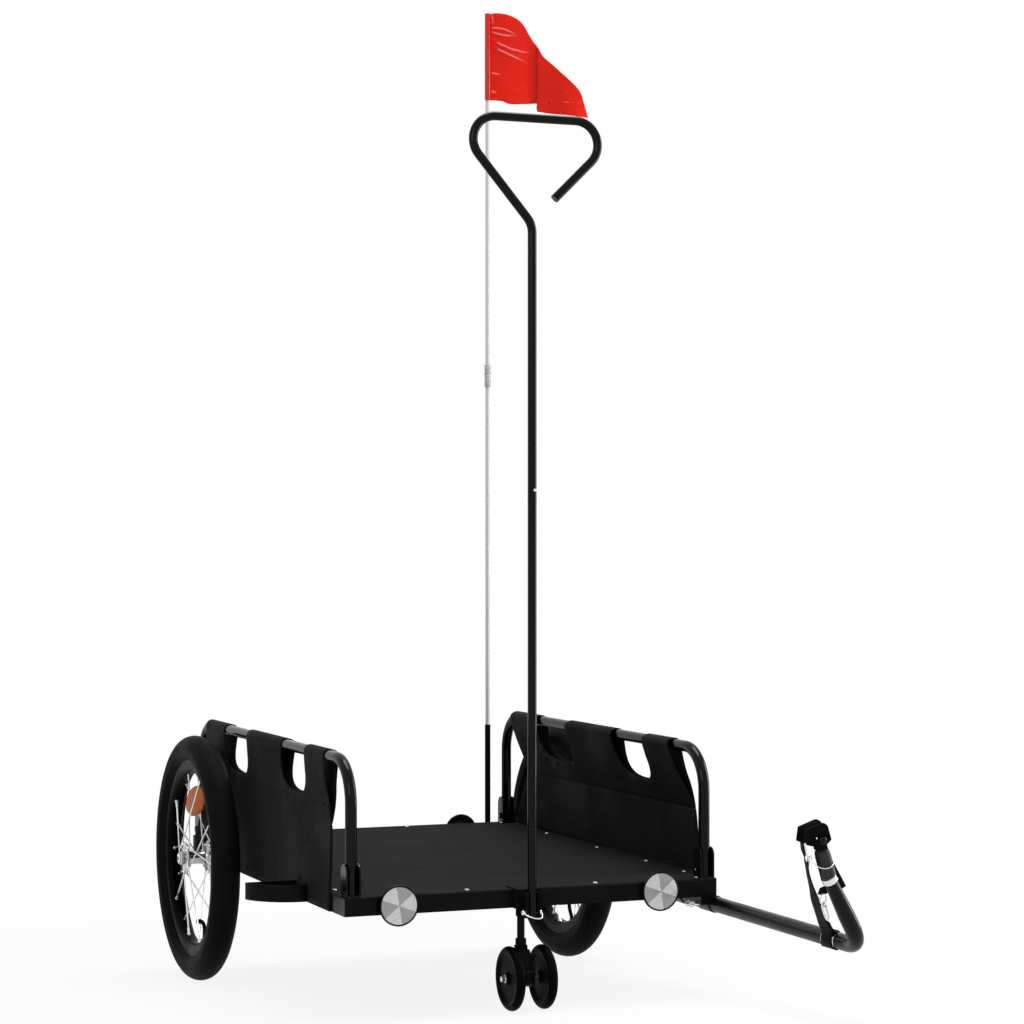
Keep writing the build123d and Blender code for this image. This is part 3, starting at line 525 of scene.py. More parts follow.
def stitch_line():
    """Group: a run of stitches at a share of the hem's width, and the hem's edge roll."""
    group, given, out = new_group(
        "Stitch line",
        {"Flat": None, "Hem": 1.0, "At": 0.72, "Stitch": 0.0035},
        ("Height", "Mask"))
    x, y = x_and_y(group, given["Flat"])
    off = maths(group, "ABSOLUTE", maths(group, "SUBTRACT", given["Hem"], given["At"]))
    line = spread(group, off, 0.09, 0.03)
    run = maths(group, "DIVIDE", plus(group, x, y), given["Stitch"])
    dash = spread(group, wave_of(group, run), 0.25, 0.5)
    mask = times(group, line, dash)
    group.links.new(mask, out["Mask"])
    groove = times(group, spread(group, off, 0.2, 0.0), -0.6)
    group.links.new(plus(group, groove, times(group, mask, 1.2)), out["Height"])
    return group


def prism_cells():
    """Group: fine pyramids of a moulded reflector; its second output is painted shade, lighter on the
    pyramids' tops and darker in their hollows.
    """
    group, given, out = new_group("Prism cells", {"Flat": None, "Pitch": 0.0025}, ("Height", "Painted Shade"))
    x, y = x_and_y(group, given["Flat"])
    ridges = []
    for turn in (0, 60, 120):
        c, s = math.cos(math.radians(turn)), math.sin(math.radians(turn))
        line = plus(group, times(group, x, c), times(group, y, s))
        ridges.append(maths(group, "PINGPONG", maths(group, "DIVIDE", line, given["Pitch"]), 1.0))
    height = times(group, plus(group, plus(group, *ridges[:2]), ridges[2]), 0.34)
    group.links.new(height, out["Height"])
    # Painted shade from the pyramids' height, for the reflector's colour.
    group.links.new(spread(group, height, 0.2, 0.85), out["Painted Shade"])
    return group


def painted_crease_highlight():
    """Group: mask of one painted highlight along a crease across a flat pattern, bent along its run and
    fading at both ends.
    """
    group, given, out = new_group(
        "Painted crease highlight",
        {"Flat": None, "At": 0.0, "Slope": 0.0, "Bend": 0.0, "Start": 0.0, "Reach": 0.05},
        ("Mask",))
    run, y = x_and_y(group, given["Flat"])
    bent = times(group, times(group, run, run), given["Bend"])
    line = plus(group, plus(group, given["At"], bent), times(group, run, given["Slope"]))
    wander = times(group, blotches(group, given["Flat"], 60.0, 2.0), 0.003)
    off = maths(group, "SUBTRACT", plus(group, line, wander), y)
    steep = maths(group, "SQRT", plus(group, 1.0, maths(group, "POWER", given["Slope"], 2.0)))
    near = spread(group, maths(group, "DIVIDE", maths(group, "ABSOLUTE", off), steep), 0.0021, 0.0002)
    begun = spread(group, maths(group, "SUBTRACT", run, given["Start"]), 0.0, 0.003)
    left = spread(group, maths(group, "DIVIDE", run, given["Reach"]), 1.0, 0.6)
    group.links.new(times(group, near, times(group, begun, left)), out["Mask"])
    return group


groups = {}


def place_group(tree, maker, **values):
    """Puts a shared group in a material with its own values or links."""
    if maker.__name__ not in groups:
        groups[maker.__name__] = maker()
    node = tree.nodes.new("ShaderNodeGroup")
    node.node_tree = groups[maker.__name__]
    for label, value in values.items():
        feed(tree, node.inputs[label.replace("_", " ")], value)
    return node


def bare_material(name):
    """New node material; returns it with its tree and its shader."""
    material = bpy.data.materials.new(name)
    material.use_nodes = True
    return material, material.node_tree, material.node_tree.nodes["Principled BSDF"]


def object_place(tree):
    """Object coordinates."""
    return tree.nodes.new("ShaderNodeTexCoord").outputs["Object"]


def flat_place(tree):
    """The piece's own flat pattern, in metres."""
    node = tree.nodes.new("ShaderNodeUVMap")
    node.uv_map = "flat"
    return node.outputs["UV"]


def raise_bump(tree, shader, height, distance, strength=1.0, before=None):
    """Bump from a height into the shader's normal."""
    node = tree.nodes.new("ShaderNodeBump")
    node.inputs["Distance"].default_value = distance
    node.inputs["Strength"].default_value = strength
    tree.links.new(height, node.inputs["Height"])
    if before is not None:
        tree.links.new(before, node.inputs["Normal"])
    tree.links.new(node.outputs["Normal"], shader.inputs["Normal"])
    return node.outputs["Normal"]


def shade_of(colour, factor):
    """A colour made lighter or darker."""
    return tuple(min(1.0, c * factor) for c in colour)


def set_shader(shader, **constants):
    """Constants on the shader's own sockets."""
    for label, value in constants.items():
        shader.inputs[label.replace("_", " ")].default_value = value


def paint_finish(name, colour, smooth, rough, wear=0.0, grain=2600.0, depth=0.00002, contrast=0.35,
                 specular=0.5, **constants):
    """Painted or moulded surface: patchy colour, orange-peel grain and worn edges."""
    material, tree, shader = bare_material(name)
    at = object_place(tree)
    aged = place_group(tree, aged_surface, Vector=at, Dark=shade_of(colour, 1 - contrast),
                       Light=shade_of(colour, 1 + contrast), Smooth=smooth, Rough=rough, Grain_Scale=grain)
    colour_out, rough_out = aged.outputs["Colour"], aged.outputs["Roughness"]
    if wear:
        worn = place_group(tree, edge_wear, Vector=at, Colour=colour_out, Roughness=rough_out,
                           Bare=shade_of(colour, 9), Amount=wear)
        colour_out, rough_out = worn.outputs["Colour"], worn.outputs["Roughness"]
    tree.links.new(colour_out, shader.inputs["Base Color"])
    tree.links.new(rough_out, shader.inputs["Roughness"])
    raise_bump(tree, shader, aged.outputs["Height"], depth)
    set_shader(shader, Specular_IOR_Level=specular, **constants)
    return material


def metal_finish(name, colour, smooth, rough):
    """Plated steel with a fine grain and dull spots."""
    return paint_finish(name, colour, smooth, rough, grain=1500.0, depth=0.00001, contrast=0.1, Metallic=1.0)


def cloth_finish(name, colour, pitch, depth, specular, hemmed=True):
    """Woven cloth over its flat pattern, with painted shade between its threads and stitched hems."""
    material, tree, shader = bare_material(name)
    flat = flat_place(tree)
    aged = place_group(tree, aged_surface, Vector=object_place(tree), Dark=shade_of(colour, 0.75),
                       Light=shade_of(colour, 1.2), Smooth=0.5, Rough=0.68, Patch_Scale=9.0,
                       Grain_Scale=700.0)
    weave = place_group(tree, woven_threads, Flat=flat, Pitch=pitch)
    # Painted shade: the colour darkens towards half its tone where the weave's threads dip.
    tint = blend_colours(tree, weave.outputs["Painted Shade"], shade_of(colour, 0.55), aged.outputs["Colour"])
    height = weave.outputs["Height"]
    normal = raise_bump(tree, shader, height, depth)
    if hemmed:
        hem = tree.nodes.new("ShaderNodeAttribute")
        hem.attribute_name = "hem"
        sewn = place_group(tree, stitch_line, Flat=flat, Hem=hem.outputs["Fac"])
        tint = blend_colours(tree, sewn.outputs["Mask"], tint, shade_of(colour, 2.6))
        raise_bump(tree, shader, sewn.outputs["Height"], depth * 4, before=normal)
    tree.links.new(tint, shader.inputs["Base Color"])
    tree.links.new(aged.outputs["Roughness"], shader.inputs["Roughness"])
    set_shader(shader, Specular_IOR_Level=specular)
    return material


def reflector_finish(name, colour, pitch, contrast, specular=0.5, **constants):
    """Moulded reflector: prism cells under a clear coat, with their painted shade in its colour."""
    material, tree, shader = bare_material(name)
    cells = place_group(tree, prism_cells, Flat=flat_place(tree), Pitch=pitch)
    # Painted shade: the colour is darker in the cells' hollows and lighter on their tops.
    tint = blend_colours(tree, cells.outputs["Painted Shade"], shade_of(colour, 1 - contrast),
                         shade_of(colour, 1 + contrast))
    tree.links.new(tint, shader.inputs["Base Color"])
    aged = place_group(tree, aged_surface, Vector=object_place(tree), Smooth=0.12, Rough=0.22,
                       Patch_Scale=60.0)
    tree.links.new(aged.outputs["Roughness"], shader.inputs["Roughness"])
    raise_bump(tree, shader, cells.outputs["Height"], 0.0003, 0.5)
    set_shader(shader, Specular_IOR_Level=specular, **constants)
    return material


def wedge_finish(name, colour, wedges=6):
    """Silvered reflector face in wedges, ribbed one way and the other in turn, with a painted reflection:
    alternate wedges and their ribs painted lighter and darker.
    """
    material, tree, shader = bare_material(name)
    x, y = x_and_y(tree, flat_place(tree))
    angle = maths(tree, "ARCTAN2", y, x)
    turn = times(tree, plus(tree, angle, 0.36), wedges / math.pi)
    odd = maths(tree, "PINGPONG", maths(tree, "FLOOR", times(tree, turn, 0.5)), 1.0)
    radius = maths(tree, "SQRT", plus(tree, times(tree, x, x), times(tree, y, y)))
    rings = maths(tree, "PINGPONG", maths(tree, "DIVIDE", radius, 0.0009), 1.0)
    rays = maths(tree, "PINGPONG", times(tree, angle, 26.0), 1.0)
    ribs = plus(tree, times(tree, rings, odd),
                 times(tree, rays, maths(tree, "SUBTRACT", 1.0, odd)))
    # Painted reflection: every other wedge, and the ribs, lighter or darker in colour, as the lamps would
    # show them on the silvering.
    painted_reflection = plus(tree, times(tree, odd, 0.55), times(tree, ribs, 0.45))
    tint = blend_colours(tree, painted_reflection, shade_of(colour, 1.2), shade_of(colour, 0.34))
    tree.links.new(tint, shader.inputs["Base Color"])
    aged = place_group(tree, aged_surface, Vector=object_place(tree), Smooth=0.2, Rough=0.34,
                       Patch_Scale=60.0)
    tree.links.new(aged.outputs["Roughness"], shader.inputs["Roughness"])
    raise_bump(tree, shader, ribs, 0.00012, 0.6)
    set_shader(shader, Metallic=0.35, Coat_Weight=0.2, Coat_Roughness=0.08)
    return material


def vinyl_finish(name, colour, specular):
    """Glossy vinyl with painted highlights along creases that start at its sleeve."""
    material = paint_finish(name, colour, 0.2, 0.32, grain=700.0, depth=0.00003, contrast=0.06,
                            specular=specular)
    tree = material.node_tree
    shader = tree.nodes["Principled BSDF"]
    flat = flat_place(tree)
    mask = None
    for at, slope, bend, start, reach in VINYL_CREASES:
        line = place_group(tree, painted_crease_highlight, Flat=flat, At=at, Slope=slope, Bend=bend, Start=start,
                           Reach=reach)
        mask = line.outputs["Mask"] if mask is None else maths(tree, "MAXIMUM", mask, line.outputs["Mask"])
    plain = shader.inputs["Base Color"].links[0].from_socket
    # Painted highlight: the colour turns pale along the creases, where a lamp's reflection would show.
    crease_highlight_tint = tuple(0.62 * c + 0.3 for c in colour)
    tint = blend_colours(tree, times(tree, mask, 0.6), plain, crease_highlight_tint)
    tree.links.new(tint, shader.inputs["Base Color"])
    return material


finish = {}


def make_finishes():
    """Every material of the trailer, by its use."""
    paints, _, fabric = settings()
    paint, zinc = tuple(paints.paint), tuple(paints.zinc)
    rubber, cloth, red = tuple(paints.rubber), tuple(paints.fabric), tuple(paints.pennant)
    finish.update(
        paint=paint_finish("gloss_black_paint", paint, 0.1, 0.17, wear=0.35, specular=0.13),
        frame_paint=paint_finish("frame_paint", shade_of(paint, 2.6), 0.24, 0.36, wear=0.3, specular=0.05),
        rim=paint_finish("rim_paint", shade_of(paint, 0.7), 0.24, 0.36, specular=0.025),
        arm=paint_finish("arm_paint", tuple(paints.arm), 0.26, 0.38, wear=0.35, specular=0.13),
        # Painted light: the paint of the hitch and front brackets is a lighter copy of the gloss black, to
        # lift their cheeks that stand in shade.
        bracket=paint_finish("hitch_coat_painted_light", shade_of(paint, 3.2), 0.45, 0.6, wear=0.2, specular=0.012),
        # Painted shade: the cover's paint is a darker copy of the gloss black, to hold down its top where the
        # top lamp lights it.
        cover=paint_finish("cover_coat_painted_shade", shade_of(paint, 0.9), 0.5, 0.62, wear=0.1, specular=0.006),
        zinc=metal_finish("zinc_plate", zinc, 0.2, 0.36),
        chrome=metal_finish("hub_plate", shade_of(zinc, 0.55), 0.12, 0.24),
        dull_zinc=metal_finish("dull_zinc", shade_of(zinc, 0.7), 0.32, 0.5),
        # Dark finish of the front bracket's screws, and painted shade on the disc at the axle's end.
        bore=paint_finish("dark_screws_and_painted_hole_shade", (0.004, 0.004, 0.004), 0.5, 0.7, specular=0.04),
        tyre=paint_finish("tyre_rubber", rubber, 0.46, 0.56, grain=1400.0, depth=0.00002,
                          contrast=0.15, specular=0.015),
        caster=paint_finish("caster_rubber", shade_of(rubber, 0.26), 0.4, 0.55,
                            grain=1500.0, depth=0.00003, specular=0.02),
        rubber=paint_finish("hitch_rubber", shade_of(rubber, 2.8), 0.42, 0.6,
                            grain=1500.0, depth=0.00003, specular=0.28),
        plastic=paint_finish("moulded_plastic", shade_of(rubber, 0.44), 0.34, 0.48,
                             grain=3000.0, depth=0.00003, specular=0.05),
        deck=paint_finish("deck_sheet", tuple(paints.deck), 0.72, 0.78, grain=1300.0, depth=0.00003,
                          contrast=0.04, specular=0.008),
        fabric=cloth_finish("coated_fabric", cloth, fabric.thread, 0.00005,
                            specular=0.02),
        webbing=cloth_finish("strap_webbing", shade_of(cloth, 0.75), 0.0014, 0.00018,
                             hemmed=False, specular=0.03),
        vinyl=vinyl_finish("pennant_vinyl", red, specular=0.14),
        sleeve=paint_finish("sleeve_vinyl", red, 0.16, 0.26, contrast=0.06,
                            specular=0.3),
        rod=paint_finish("white_rod", (0.66, 0.66, 0.66), 0.38, 0.5, contrast=0.03, grain=1200.0),
        ferrule=paint_finish("clear_ferrule", (0.62, 0.62, 0.62), 0.14, 0.24, contrast=0.08,
                             Transmission_Weight=0.35, IOR=1.45),
        amber=reflector_finish("amber_reflector", tuple(paints.amber), 0.0022, 0.3, Coat_Weight=0.15,
                               Coat_Roughness=0.1, specular=0.15),
        red=reflector_finish("red_reflector", (0.3, 0.006, 0.006), 0.0028, 0.35, Coat_Weight=0.1,
                             Coat_Roughness=0.06),
        wedge=wedge_finish("silver_wedges", (0.62, 0.62, 0.62)),
    )


NODE_FINISHES = {
    "paint": ("hoop", "handle_lower", "handle_upper"),
    "frame_paint": ("rail", "crossbar", "bumper", "caster_post"),
    "deck": ("deck_panel",),
    "arm": ("tow_arm", "tow_sleeve"),
    "bracket": ("hitch_bracket", "hitch_knuckle", "front_bracket"),
    "zinc": ("stub_axle", "handle_pin", "caster_axle", "tow_lock_pin", "coupler_ring", "hitch_bolt"),
    "rod": ("flag_rod",),
    "plastic": ("flag_sleeve", "flag_clip", "caster_fork"),
}


def finish_nodes():
    """Gives each carried-over node the material of its kind."""
    for key, starts in NODE_FINISHES.items():
        for name, node in frame["nodes"].items():
            if name.startswith(starts):
                for slot in node.material_slots:
                    slot.material = finish[key]


# Stage


def white_background(tree, shown, lit):
    """Mixes what eyes and mirrors see with what lights the object."""
    path = tree.nodes.new("ShaderNodeLightPath")
    seen = maths(tree, "MAXIMUM", path.outputs["Is Camera Ray"], path.outputs["Is Glossy Ray"])
    seen = maths(tree, "MAXIMUM", seen, path.outputs["Is Transmission Ray"])
    mix = tree.nodes.new("ShaderNodeMixShader")
    tree.links.new(seen, mix.inputs["Fac"])
    tree.links.new(lit, mix.inputs[1])
    tree.links.new(shown, mix.inputs[2])
    return mix.outputs["Shader"]


def make_world(level):
    """World that is white to look at and lights at a plain level."""
    world = bpy.data.worlds.new("studio")
    world.use_nodes = True
    tree = world.node_tree
    tree.nodes.clear()
    shown, lit = tree.nodes.new("ShaderNodeBackground"), tree.nodes.new("ShaderNodeBackground")
    shown.inputs["Color"].default_value = (1, 1, 1, 1)
    lit.inputs["Color"].default_value = (1, 1, 1, 1)
    lit.inputs["Strength"].default_value = level
    out = tree.nodes.new("ShaderNodeOutputWorld")
    tree.links.new(white_background(tree, shown.outputs["Background"], lit.outputs["Background"]),
                   out.inputs["Surface"])
    bpy.context.scene.world = world


def make_floor():
    """Pale floor that keeps a soft shadow."""
    shape = bmesh.new()
    bmesh.ops.create_grid(shape, x_segments=1, y_segments=1, size=14.0)
    mesh = bpy.data.meshes.new("floor")
    shape.to_mesh(mesh)
    shape.free()
    floor = bpy.data.objects.new("floor", mesh)
    bpy.context.scene.collection.objects.link(floor)
    material, tree, shader = bare_material("pale_floor")
    aged = place_group(tree, aged_surface, Vector=object_place(tree), Dark=(0.72, 0.72, 0.72),
                       Light=(0.76, 0.76, 0.76), Smooth=0.8, Rough=0.9, Patch_Scale=0.8, Grain_Scale=60.0)
    tree.links.new(aged.outputs["Colour"], shader.inputs["Base Color"])
    tree.links.new(aged.outputs["Roughness"], shader.inputs["Roughness"])
    set_shader(shader, Specular_IOR_Level=0.0)
    glow = tree.nodes.new("ShaderNodeEmission")
    glow.inputs["Strength"].default_value = 1.0
    distance = tree.nodes.new("ShaderNodeVectorMath")
    distance.operation = "LENGTH"
    tree.links.new(object_place(tree), distance.inputs[0])
    mix = tree.nodes.new("ShaderNodeMixShader")
    tree.links.new(spread(tree, distance.outputs["Value"], 1.0, 2.6, 0.88, 1.0), mix.inputs["Fac"])
    tree.links.new(shader.outputs["BSDF"], mix.inputs[1])
    tree.links.new(glow.outputs["Emission"], mix.inputs[2])
    out = tree.nodes["Material Output"]
    tree.links.new(white_background(tree, mix.outputs["Shader"], shader.outputs["BSDF"]),
                   out.inputs["Surface"])
    mesh.materials.append(material)


def make_lamp(name, at, towards, size, energy):
    """Soft square lamp."""
    data = bpy.data.lights.new(name, "AREA")
    data.shape = "RECTANGLE"
    data.size, data.size_y = size
    data.energy = energy
    lamp = bpy.data.objects.new(name, data)
    lamp.matrix_world = aim(at, Vector(at) - Vector(towards))
    bpy.context.scene.collection.objects.link(lamp)


CAMERA_AT = (-1.4393, -3.5088, 0.7343)
CAMERA_TURN = math.radians(21.78)
CAMERA_LENS = 91.85
CAMERA_SHIFT = 0.02


def make_camera():
    """Camera ahead of the trailer and to its right, above its hoops and below its handle's grip."""
    right = Vector((math.cos(CAMERA_TURN), -math.sin(CAMERA_TURN), 0))
    back = Vector((-math.sin(CAMERA_TURN), -math.cos(CAMERA_TURN), 0))
    data = bpy.data.cameras.new("camera")
    data.sensor_width = 36.0
    data.lens = CAMERA_LENS
    data.shift_y = CAMERA_SHIFT
    camera = bpy.data.objects.new("camera", data)
    bpy.context.scene.collection.objects.link(camera)
    camera.matrix_world = LEVEL @ axes(CAMERA_AT, right, Vector((0, 0, 1)), back)
    bpy.context.scene.camera = camera


class TRAILER_OT_stage(bpy.types.Operator):
    """Builds the floor, the lamps, the world and the camera"""

    bl_idname = "trailer.stage"
    bl_label = "Stage"

    def execute(self, context):
        make_world(0.4)
        make_floor()
        middle = (0.0, 0.1, 0.4)  # of the trailer
        make_lamp("top_lamp", (0.3, 0.2, 3.6), middle, (1.8, 1.8), 84)
        make_lamp("right_lamp", (2.4, -0.5, 1.02), (0.0, 0.1, 0.9), (0.8, 1.96), 44)
        make_lamp("left_lamp", (-2.6, -2.6, 1.9), middle, (1.6, 1.6), 22)
        make_camera()
        context.scene.view_settings.view_transform = "Standard"
        return {"FINISHED"}


class TRAILER_OT_finishes(bpy.types.Operator):
    """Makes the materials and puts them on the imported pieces"""

    bl_idname = "trailer.finishes"
    bl_label = "Finishes"

    def execute(self, context):
        make_finishes()
        finish_nodes()
        return {"FINISHED"}


# Spoked wheels, drawn about the x axis with their middle at the origin


ALONG_AXLE = Matrix.Rotation(math.pi / 2, 4, "Y")
AXLE_FACE = WHEEL_X + 0.0265
AXLE_WASHER = 0.0012
AXLE_NUT = 0.003


def lay_flat(shape):
    """Writes the piece's flat pattern, in metres, from the x and y of its points."""
    flat = shape.loops.layers.uv.get("flat") or shape.loops.layers.uv.new("flat")
    for face in shape.faces:
        for loop in face.loops:
            loop[flat].uv = loop.vert.co.xy


def wheel_at(side):
    """Places a wheel drawn about the origin on its axle; the right one is the mirror image."""
    return Matrix.Translation((side * WHEEL_X, AXLE_Y, WHEEL_R)) @ Matrix.Diagonal((side, 1, 1, 1))


def tyre_section(wheels):
    """Round section whose foot sits between the rim's lips and whose crown is lowered by the tread."""
    middle = WHEEL_R - wheels.section / 2
    shape = bmesh.new()
    bmesh.ops.create_circle(shape, segments=32, radius=wheels.section / 2)
    half_step = Matrix.Rotation(math.pi / 32, 4, "Z")
    move(shape, Matrix.Rotation(math.pi / 2, 4, "X") @ half_step)
    for vert in shape.verts:
        height = vert.co.z
        if height > 0.6 * wheels.section / 2:
            vert.co -= vert.co.normalized() * wheels.tread_depth
        vert.co.z += middle
        if vert.co.z < wheels.rim_outer + 0.0045:
            inside = wheels.rim_width / 2 - 0.0007
            vert.co.x = max(-inside, min(inside, vert.co.x))
            vert.co.z = max(vert.co.z, wheels.rim_outer + 0.0002)
    return shape, middle


def turn_of(face):
    """Angle of a face about the x axis."""
    middle = face.calc_center_median()
    return math.atan2(middle.y, middle.z)


def tyre(wheels):
    """Tyre with a centre rib, slanted tread blocks, shoulder lugs and a moulded line on each wall."""
    shape, middle = tyre_section(wheels)
    rows = wheels.tread_rows
    bmesh.ops.spin(shape, geom=shape.verts[:] + shape.edges[:], axis=(1, 0, 0), cent=(0, 0, 0),
                   angle=2 * math.pi, steps=rows, use_merge=True)
    clean(shape)
    half_block = math.pi / rows
    for vert in shape.verts:
        slant = half_block * min(1.0, abs(vert.co.x) / (0.38 * wheels.section))
        vert.co.rotate(Matrix.Rotation(slant, 3, "X"))
    columns = {}
    for face in shape.faces:
        at = face.calc_center_median()
        angle = math.atan2(at.x, at.yz.length - middle)
        columns.setdefault(round(angle / (math.pi / 16)), []).append(face)
    block_wall = 0.0006
    bmesh.ops.inset_region(shape, faces=columns[0], thickness=block_wall, depth=wheels.tread_depth)
    for side in (-1, 1):
        near, far = columns[2 * side], columns[3 * side]
        pairs = {}
        for face in sorted(near + far, key=turn_of):
            others = far if face in near else near
            mate = next(g for e in face.edges for g in e.link_faces if g in others)
            pairs[frozenset((face, mate))] = [face, mate]
        for pair in pairs.values():
            bmesh.ops.inset_region(shape, faces=pair, thickness=block_wall, depth=wheels.tread_depth)
        bmesh.ops.inset_individual(shape, faces=columns[4 * side], thickness=block_wall,
                                   depth=wheels.tread_depth)
        bmesh.ops.inset_region(shape, faces=columns[7 * side], thickness=0.0006, depth=0.0002)
        bmesh.ops.inset_region(shape, faces=columns[10 * side], thickness=0.0006, depth=0.0003)
    return shape


def rim(wheels):
    """Deep box rim with hooked lips."""
    edge, seat, inner = wheels.rim_width / 2, wheels.rim_outer, wheels.rim_inner
    half = [(seat, edge - 0.004), (seat + 0.004, edge - 0.0007), (seat + 0.004, edge), (inner + 0.0105, edge),
            (inner + 0.004, edge - 0.002), (inner + 0.0006, edge - 0.0055), (inner, edge - 0.0075)]
    profile = half + [(radius, -along) for radius, along in reversed(half)]
    shape = lathe(profile + profile[:1], 128)
    return move(shape, ALONG_AXLE)


def hub(wheels):
    """Turned hub shell: barrel, two rounded flanges and shouldered ends."""
    bore, flange = 0.00605, wheels.flange
    half = [(bore, 0.026), (0.0095, 0.026), (0.0105, 0.0252), (0.0105, 0.0222), (0.0135, 0.0212),
            (flange - 0.0012, 0.0207), (flange, 0.0202), (flange, 0.0188), (flange - 0.0012, 0.0183),
            (0.0145, 0.0176), (0.0118, 0.0152), (0.011, 0.011), (0.0106, 0.0)]
    profile = half + [(radius, -along) for radius, along in reversed(half[:-1])]
    shape = lathe(profile + profile[:1], 40)
    return move(shape, ALONG_AXLE)


def spoke(wheels, index):
    """One spoke: head and elbow at the flange, straight run, nipple at the rim."""
    side = 1 if index % 2 else -1
    lean = 1 if index % 4 < 2 else -1
    hole_r = wheels.flange - 0.0035
    turn = Matrix.Rotation(math.radians(-lean * 68), 4, "X")
    hole = turn @ Vector((side * 0.0195, 0, hole_r))
    out = Vector((lean * 0.0026, 0, 0))
    tip = Vector((side * 0.003 + lean * 0.00145, 0, wheels.rim_inner + 0.001))
    foot = hole + out
    run = (tip - foot).normalized()
    shape = rod(foot, tip, wheels.spoke_radius, 8)
    add(shape, rod(foot + out * 0.25, hole - out, wheels.spoke_radius, 8))
    add(shape, rod(hole - out * 0.5, hole - out * 1.15, 0.0023, 10, end_radius=0.0014))
    add(shape, rod(tip - run * 0.013, tip, 0.0018, 8, end_radius=0.0021))
    add(shape, rod(tip - run * 0.004, tip, 0.0026, 8, end_radius=0.003))
    return move(shape, Matrix.Rotation(index * 2 * math.pi / wheels.spokes, 4, "X"))


def valve():
    """Rubber valve stem a little ahead of the wheel's lowest point, its capped end bent outwards."""
    shape = bent_wire([(0, 0, -0.142), (-0.002, 0, -0.13), (-0.0035, 0, -0.117), (-0.0015, 0, -0.107),
                       (0.004, 0, -0.1055)], 0.0032)
    add(shape, rod((0.0015, 0, -0.1058), (0.0095, 0, -0.1066), 0.0041, 12, 0.0036, ease=0.0008))
    add(shape, rod((0, 0, -0.1415), (-0.0008, 0, -0.136), 0.0062, 14, 0.0042))
    return move(shape, Matrix.Rotation(math.radians(-18.8), 4, "X"))


def reflector_place():
    """Matrix of the spoke reflector: clipped slantwise from an outer to an inner spoke, its rear end low."""
    long_way = Vector((0.0085, 0.025, -0.013)).normalized()
    outwards = Vector((1, 0, 0))
    outwards = (outwards - long_way * outwards.dot(long_way)).normalized()
    return axes((0.001, 0, 0.093), outwards.cross(long_way), long_way, outwards)


def spoke_reflector():
    """Lens-shaped amber reflector with a raised border."""
    lens = lathe([(0, -0.0046), (0.7, -0.0044), (0.93, -0.003), (1, -0.0012), (1, 0.0008), (0.97, 0.0026),
                  (0.9, 0.0036), (0.88, 0.003), (0.6, 0.0042), (0, 0.0046)], 48)
    move(lens, Matrix.Diagonal((0.0243, 0.0295, 1, 1)))
    lay_flat(lens)
    return move(lens, reflector_place())


def reflector_clip():
    """Moulded bar on the back of the reflector with a hook at each end."""
    shape = block((-0.0055, -0.024, -0.0066), (0.0055, 0.024, -0.0038), 0.0012)
    for y in (-0.021, 0.021):
        add(shape, rod((-0.009, y, -0.0066), (0.009, y, -0.0066), 0.0019, 10, ease=0.0004))
    return move(shape, reflector_place())


def axle_end():
    """Stub axle with its washer and nut; its hollow end is only a dark disc of painted shade, added apart."""
    shape = rod((HALF - RAIL, AXLE_Y, WHEEL_R), (AXLE_FACE, AXLE_Y, WHEEL_R), 0.006, 24)
    out = aim((AXLE_FACE, AXLE_Y, WHEEL_R), (1, 0, 0))
    add(shape, washer(0.01, 0.0055, AXLE_WASHER), out)
    add(shape, hex_nut(0.0092, 0.006, AXLE_NUT), out @ Matrix.Translation((0, 0, AXLE_WASHER)))
    return shape


class TRAILER_OT_wheels(bpy.types.Operator):
    """Builds the two spoked wheels with their tyres, rims, hubs, spokes, valves and reflectors"""

    bl_idname = "trailer.wheels"
    bl_label = "Spoked wheels"

    def execute(self, context):
        wheels = context.scene.trailer_wheels
        for name, side in SIDES.items():
            body, at = "wheel_" + name, wheel_at(side)
            laced = bmesh.new()
            for index in range(wheels.spokes):
                add(laced, spoke(wheels, index))
            made = (
                (tyre(wheels), "tyre", "tyre_rubber", "tyre", "tyre"),
                (rim(wheels), "rim", "rim_black", "rim", "rim"),
                (hub(wheels), "hub_shell", "zinc_steel", "chrome", "hub"),
                (laced, "laced_spokes", "zinc_steel", "zinc", "spokes"),
                (valve(), "valve", "tyre_rubber", "tyre", None),
                (spoke_reflector(), "spoke_lens", "amber_reflector", "amber", "spoke_reflector"),
                (reflector_clip(), "reflector_clip", "black_plastic", "plastic", None),
            )
            for shape, kind, slot, look, node in made:
                if side < 0:
                    bmesh.ops.reverse_faces(shape, faces=shape.faces)
                move(shape, at)
                piece(shape, f"{kind}_{name}_made", body, [finish[look]],
                      replaces=(f"{node}_{name}",) if node else ())
            axle = axle_end()
            move(axle, Matrix.Diagonal((side, 1, 1, 1)))
            piece(axle, "axle_end_" + name, "chassis", [finish["zinc"]],
                  replaces=("stub_axle_" + name,))
            # Painted shade: a dark disc at the nut's end stands for the shadow in the axle's hollow end.
            end = AXLE_FACE + AXLE_WASHER + AXLE_NUT * 1.25
            deep, proud = (Vector((side * (end + by), AXLE_Y, WHEEL_R)) for by in (-0.0004, 0.0002))
            painted_hole_shade = rod(deep, proud, 0.0035, 16)
            piece(painted_hole_shade, "axle_painted_hole_shade_" + name, "chassis", [finish["bore"]])
        return {"FINISHED"}


# Fabric side panels, cut flat and folded over the hoops


OUTER_FACE = HALF + 0.0019
INNER_FACE = HALF + 0.0015


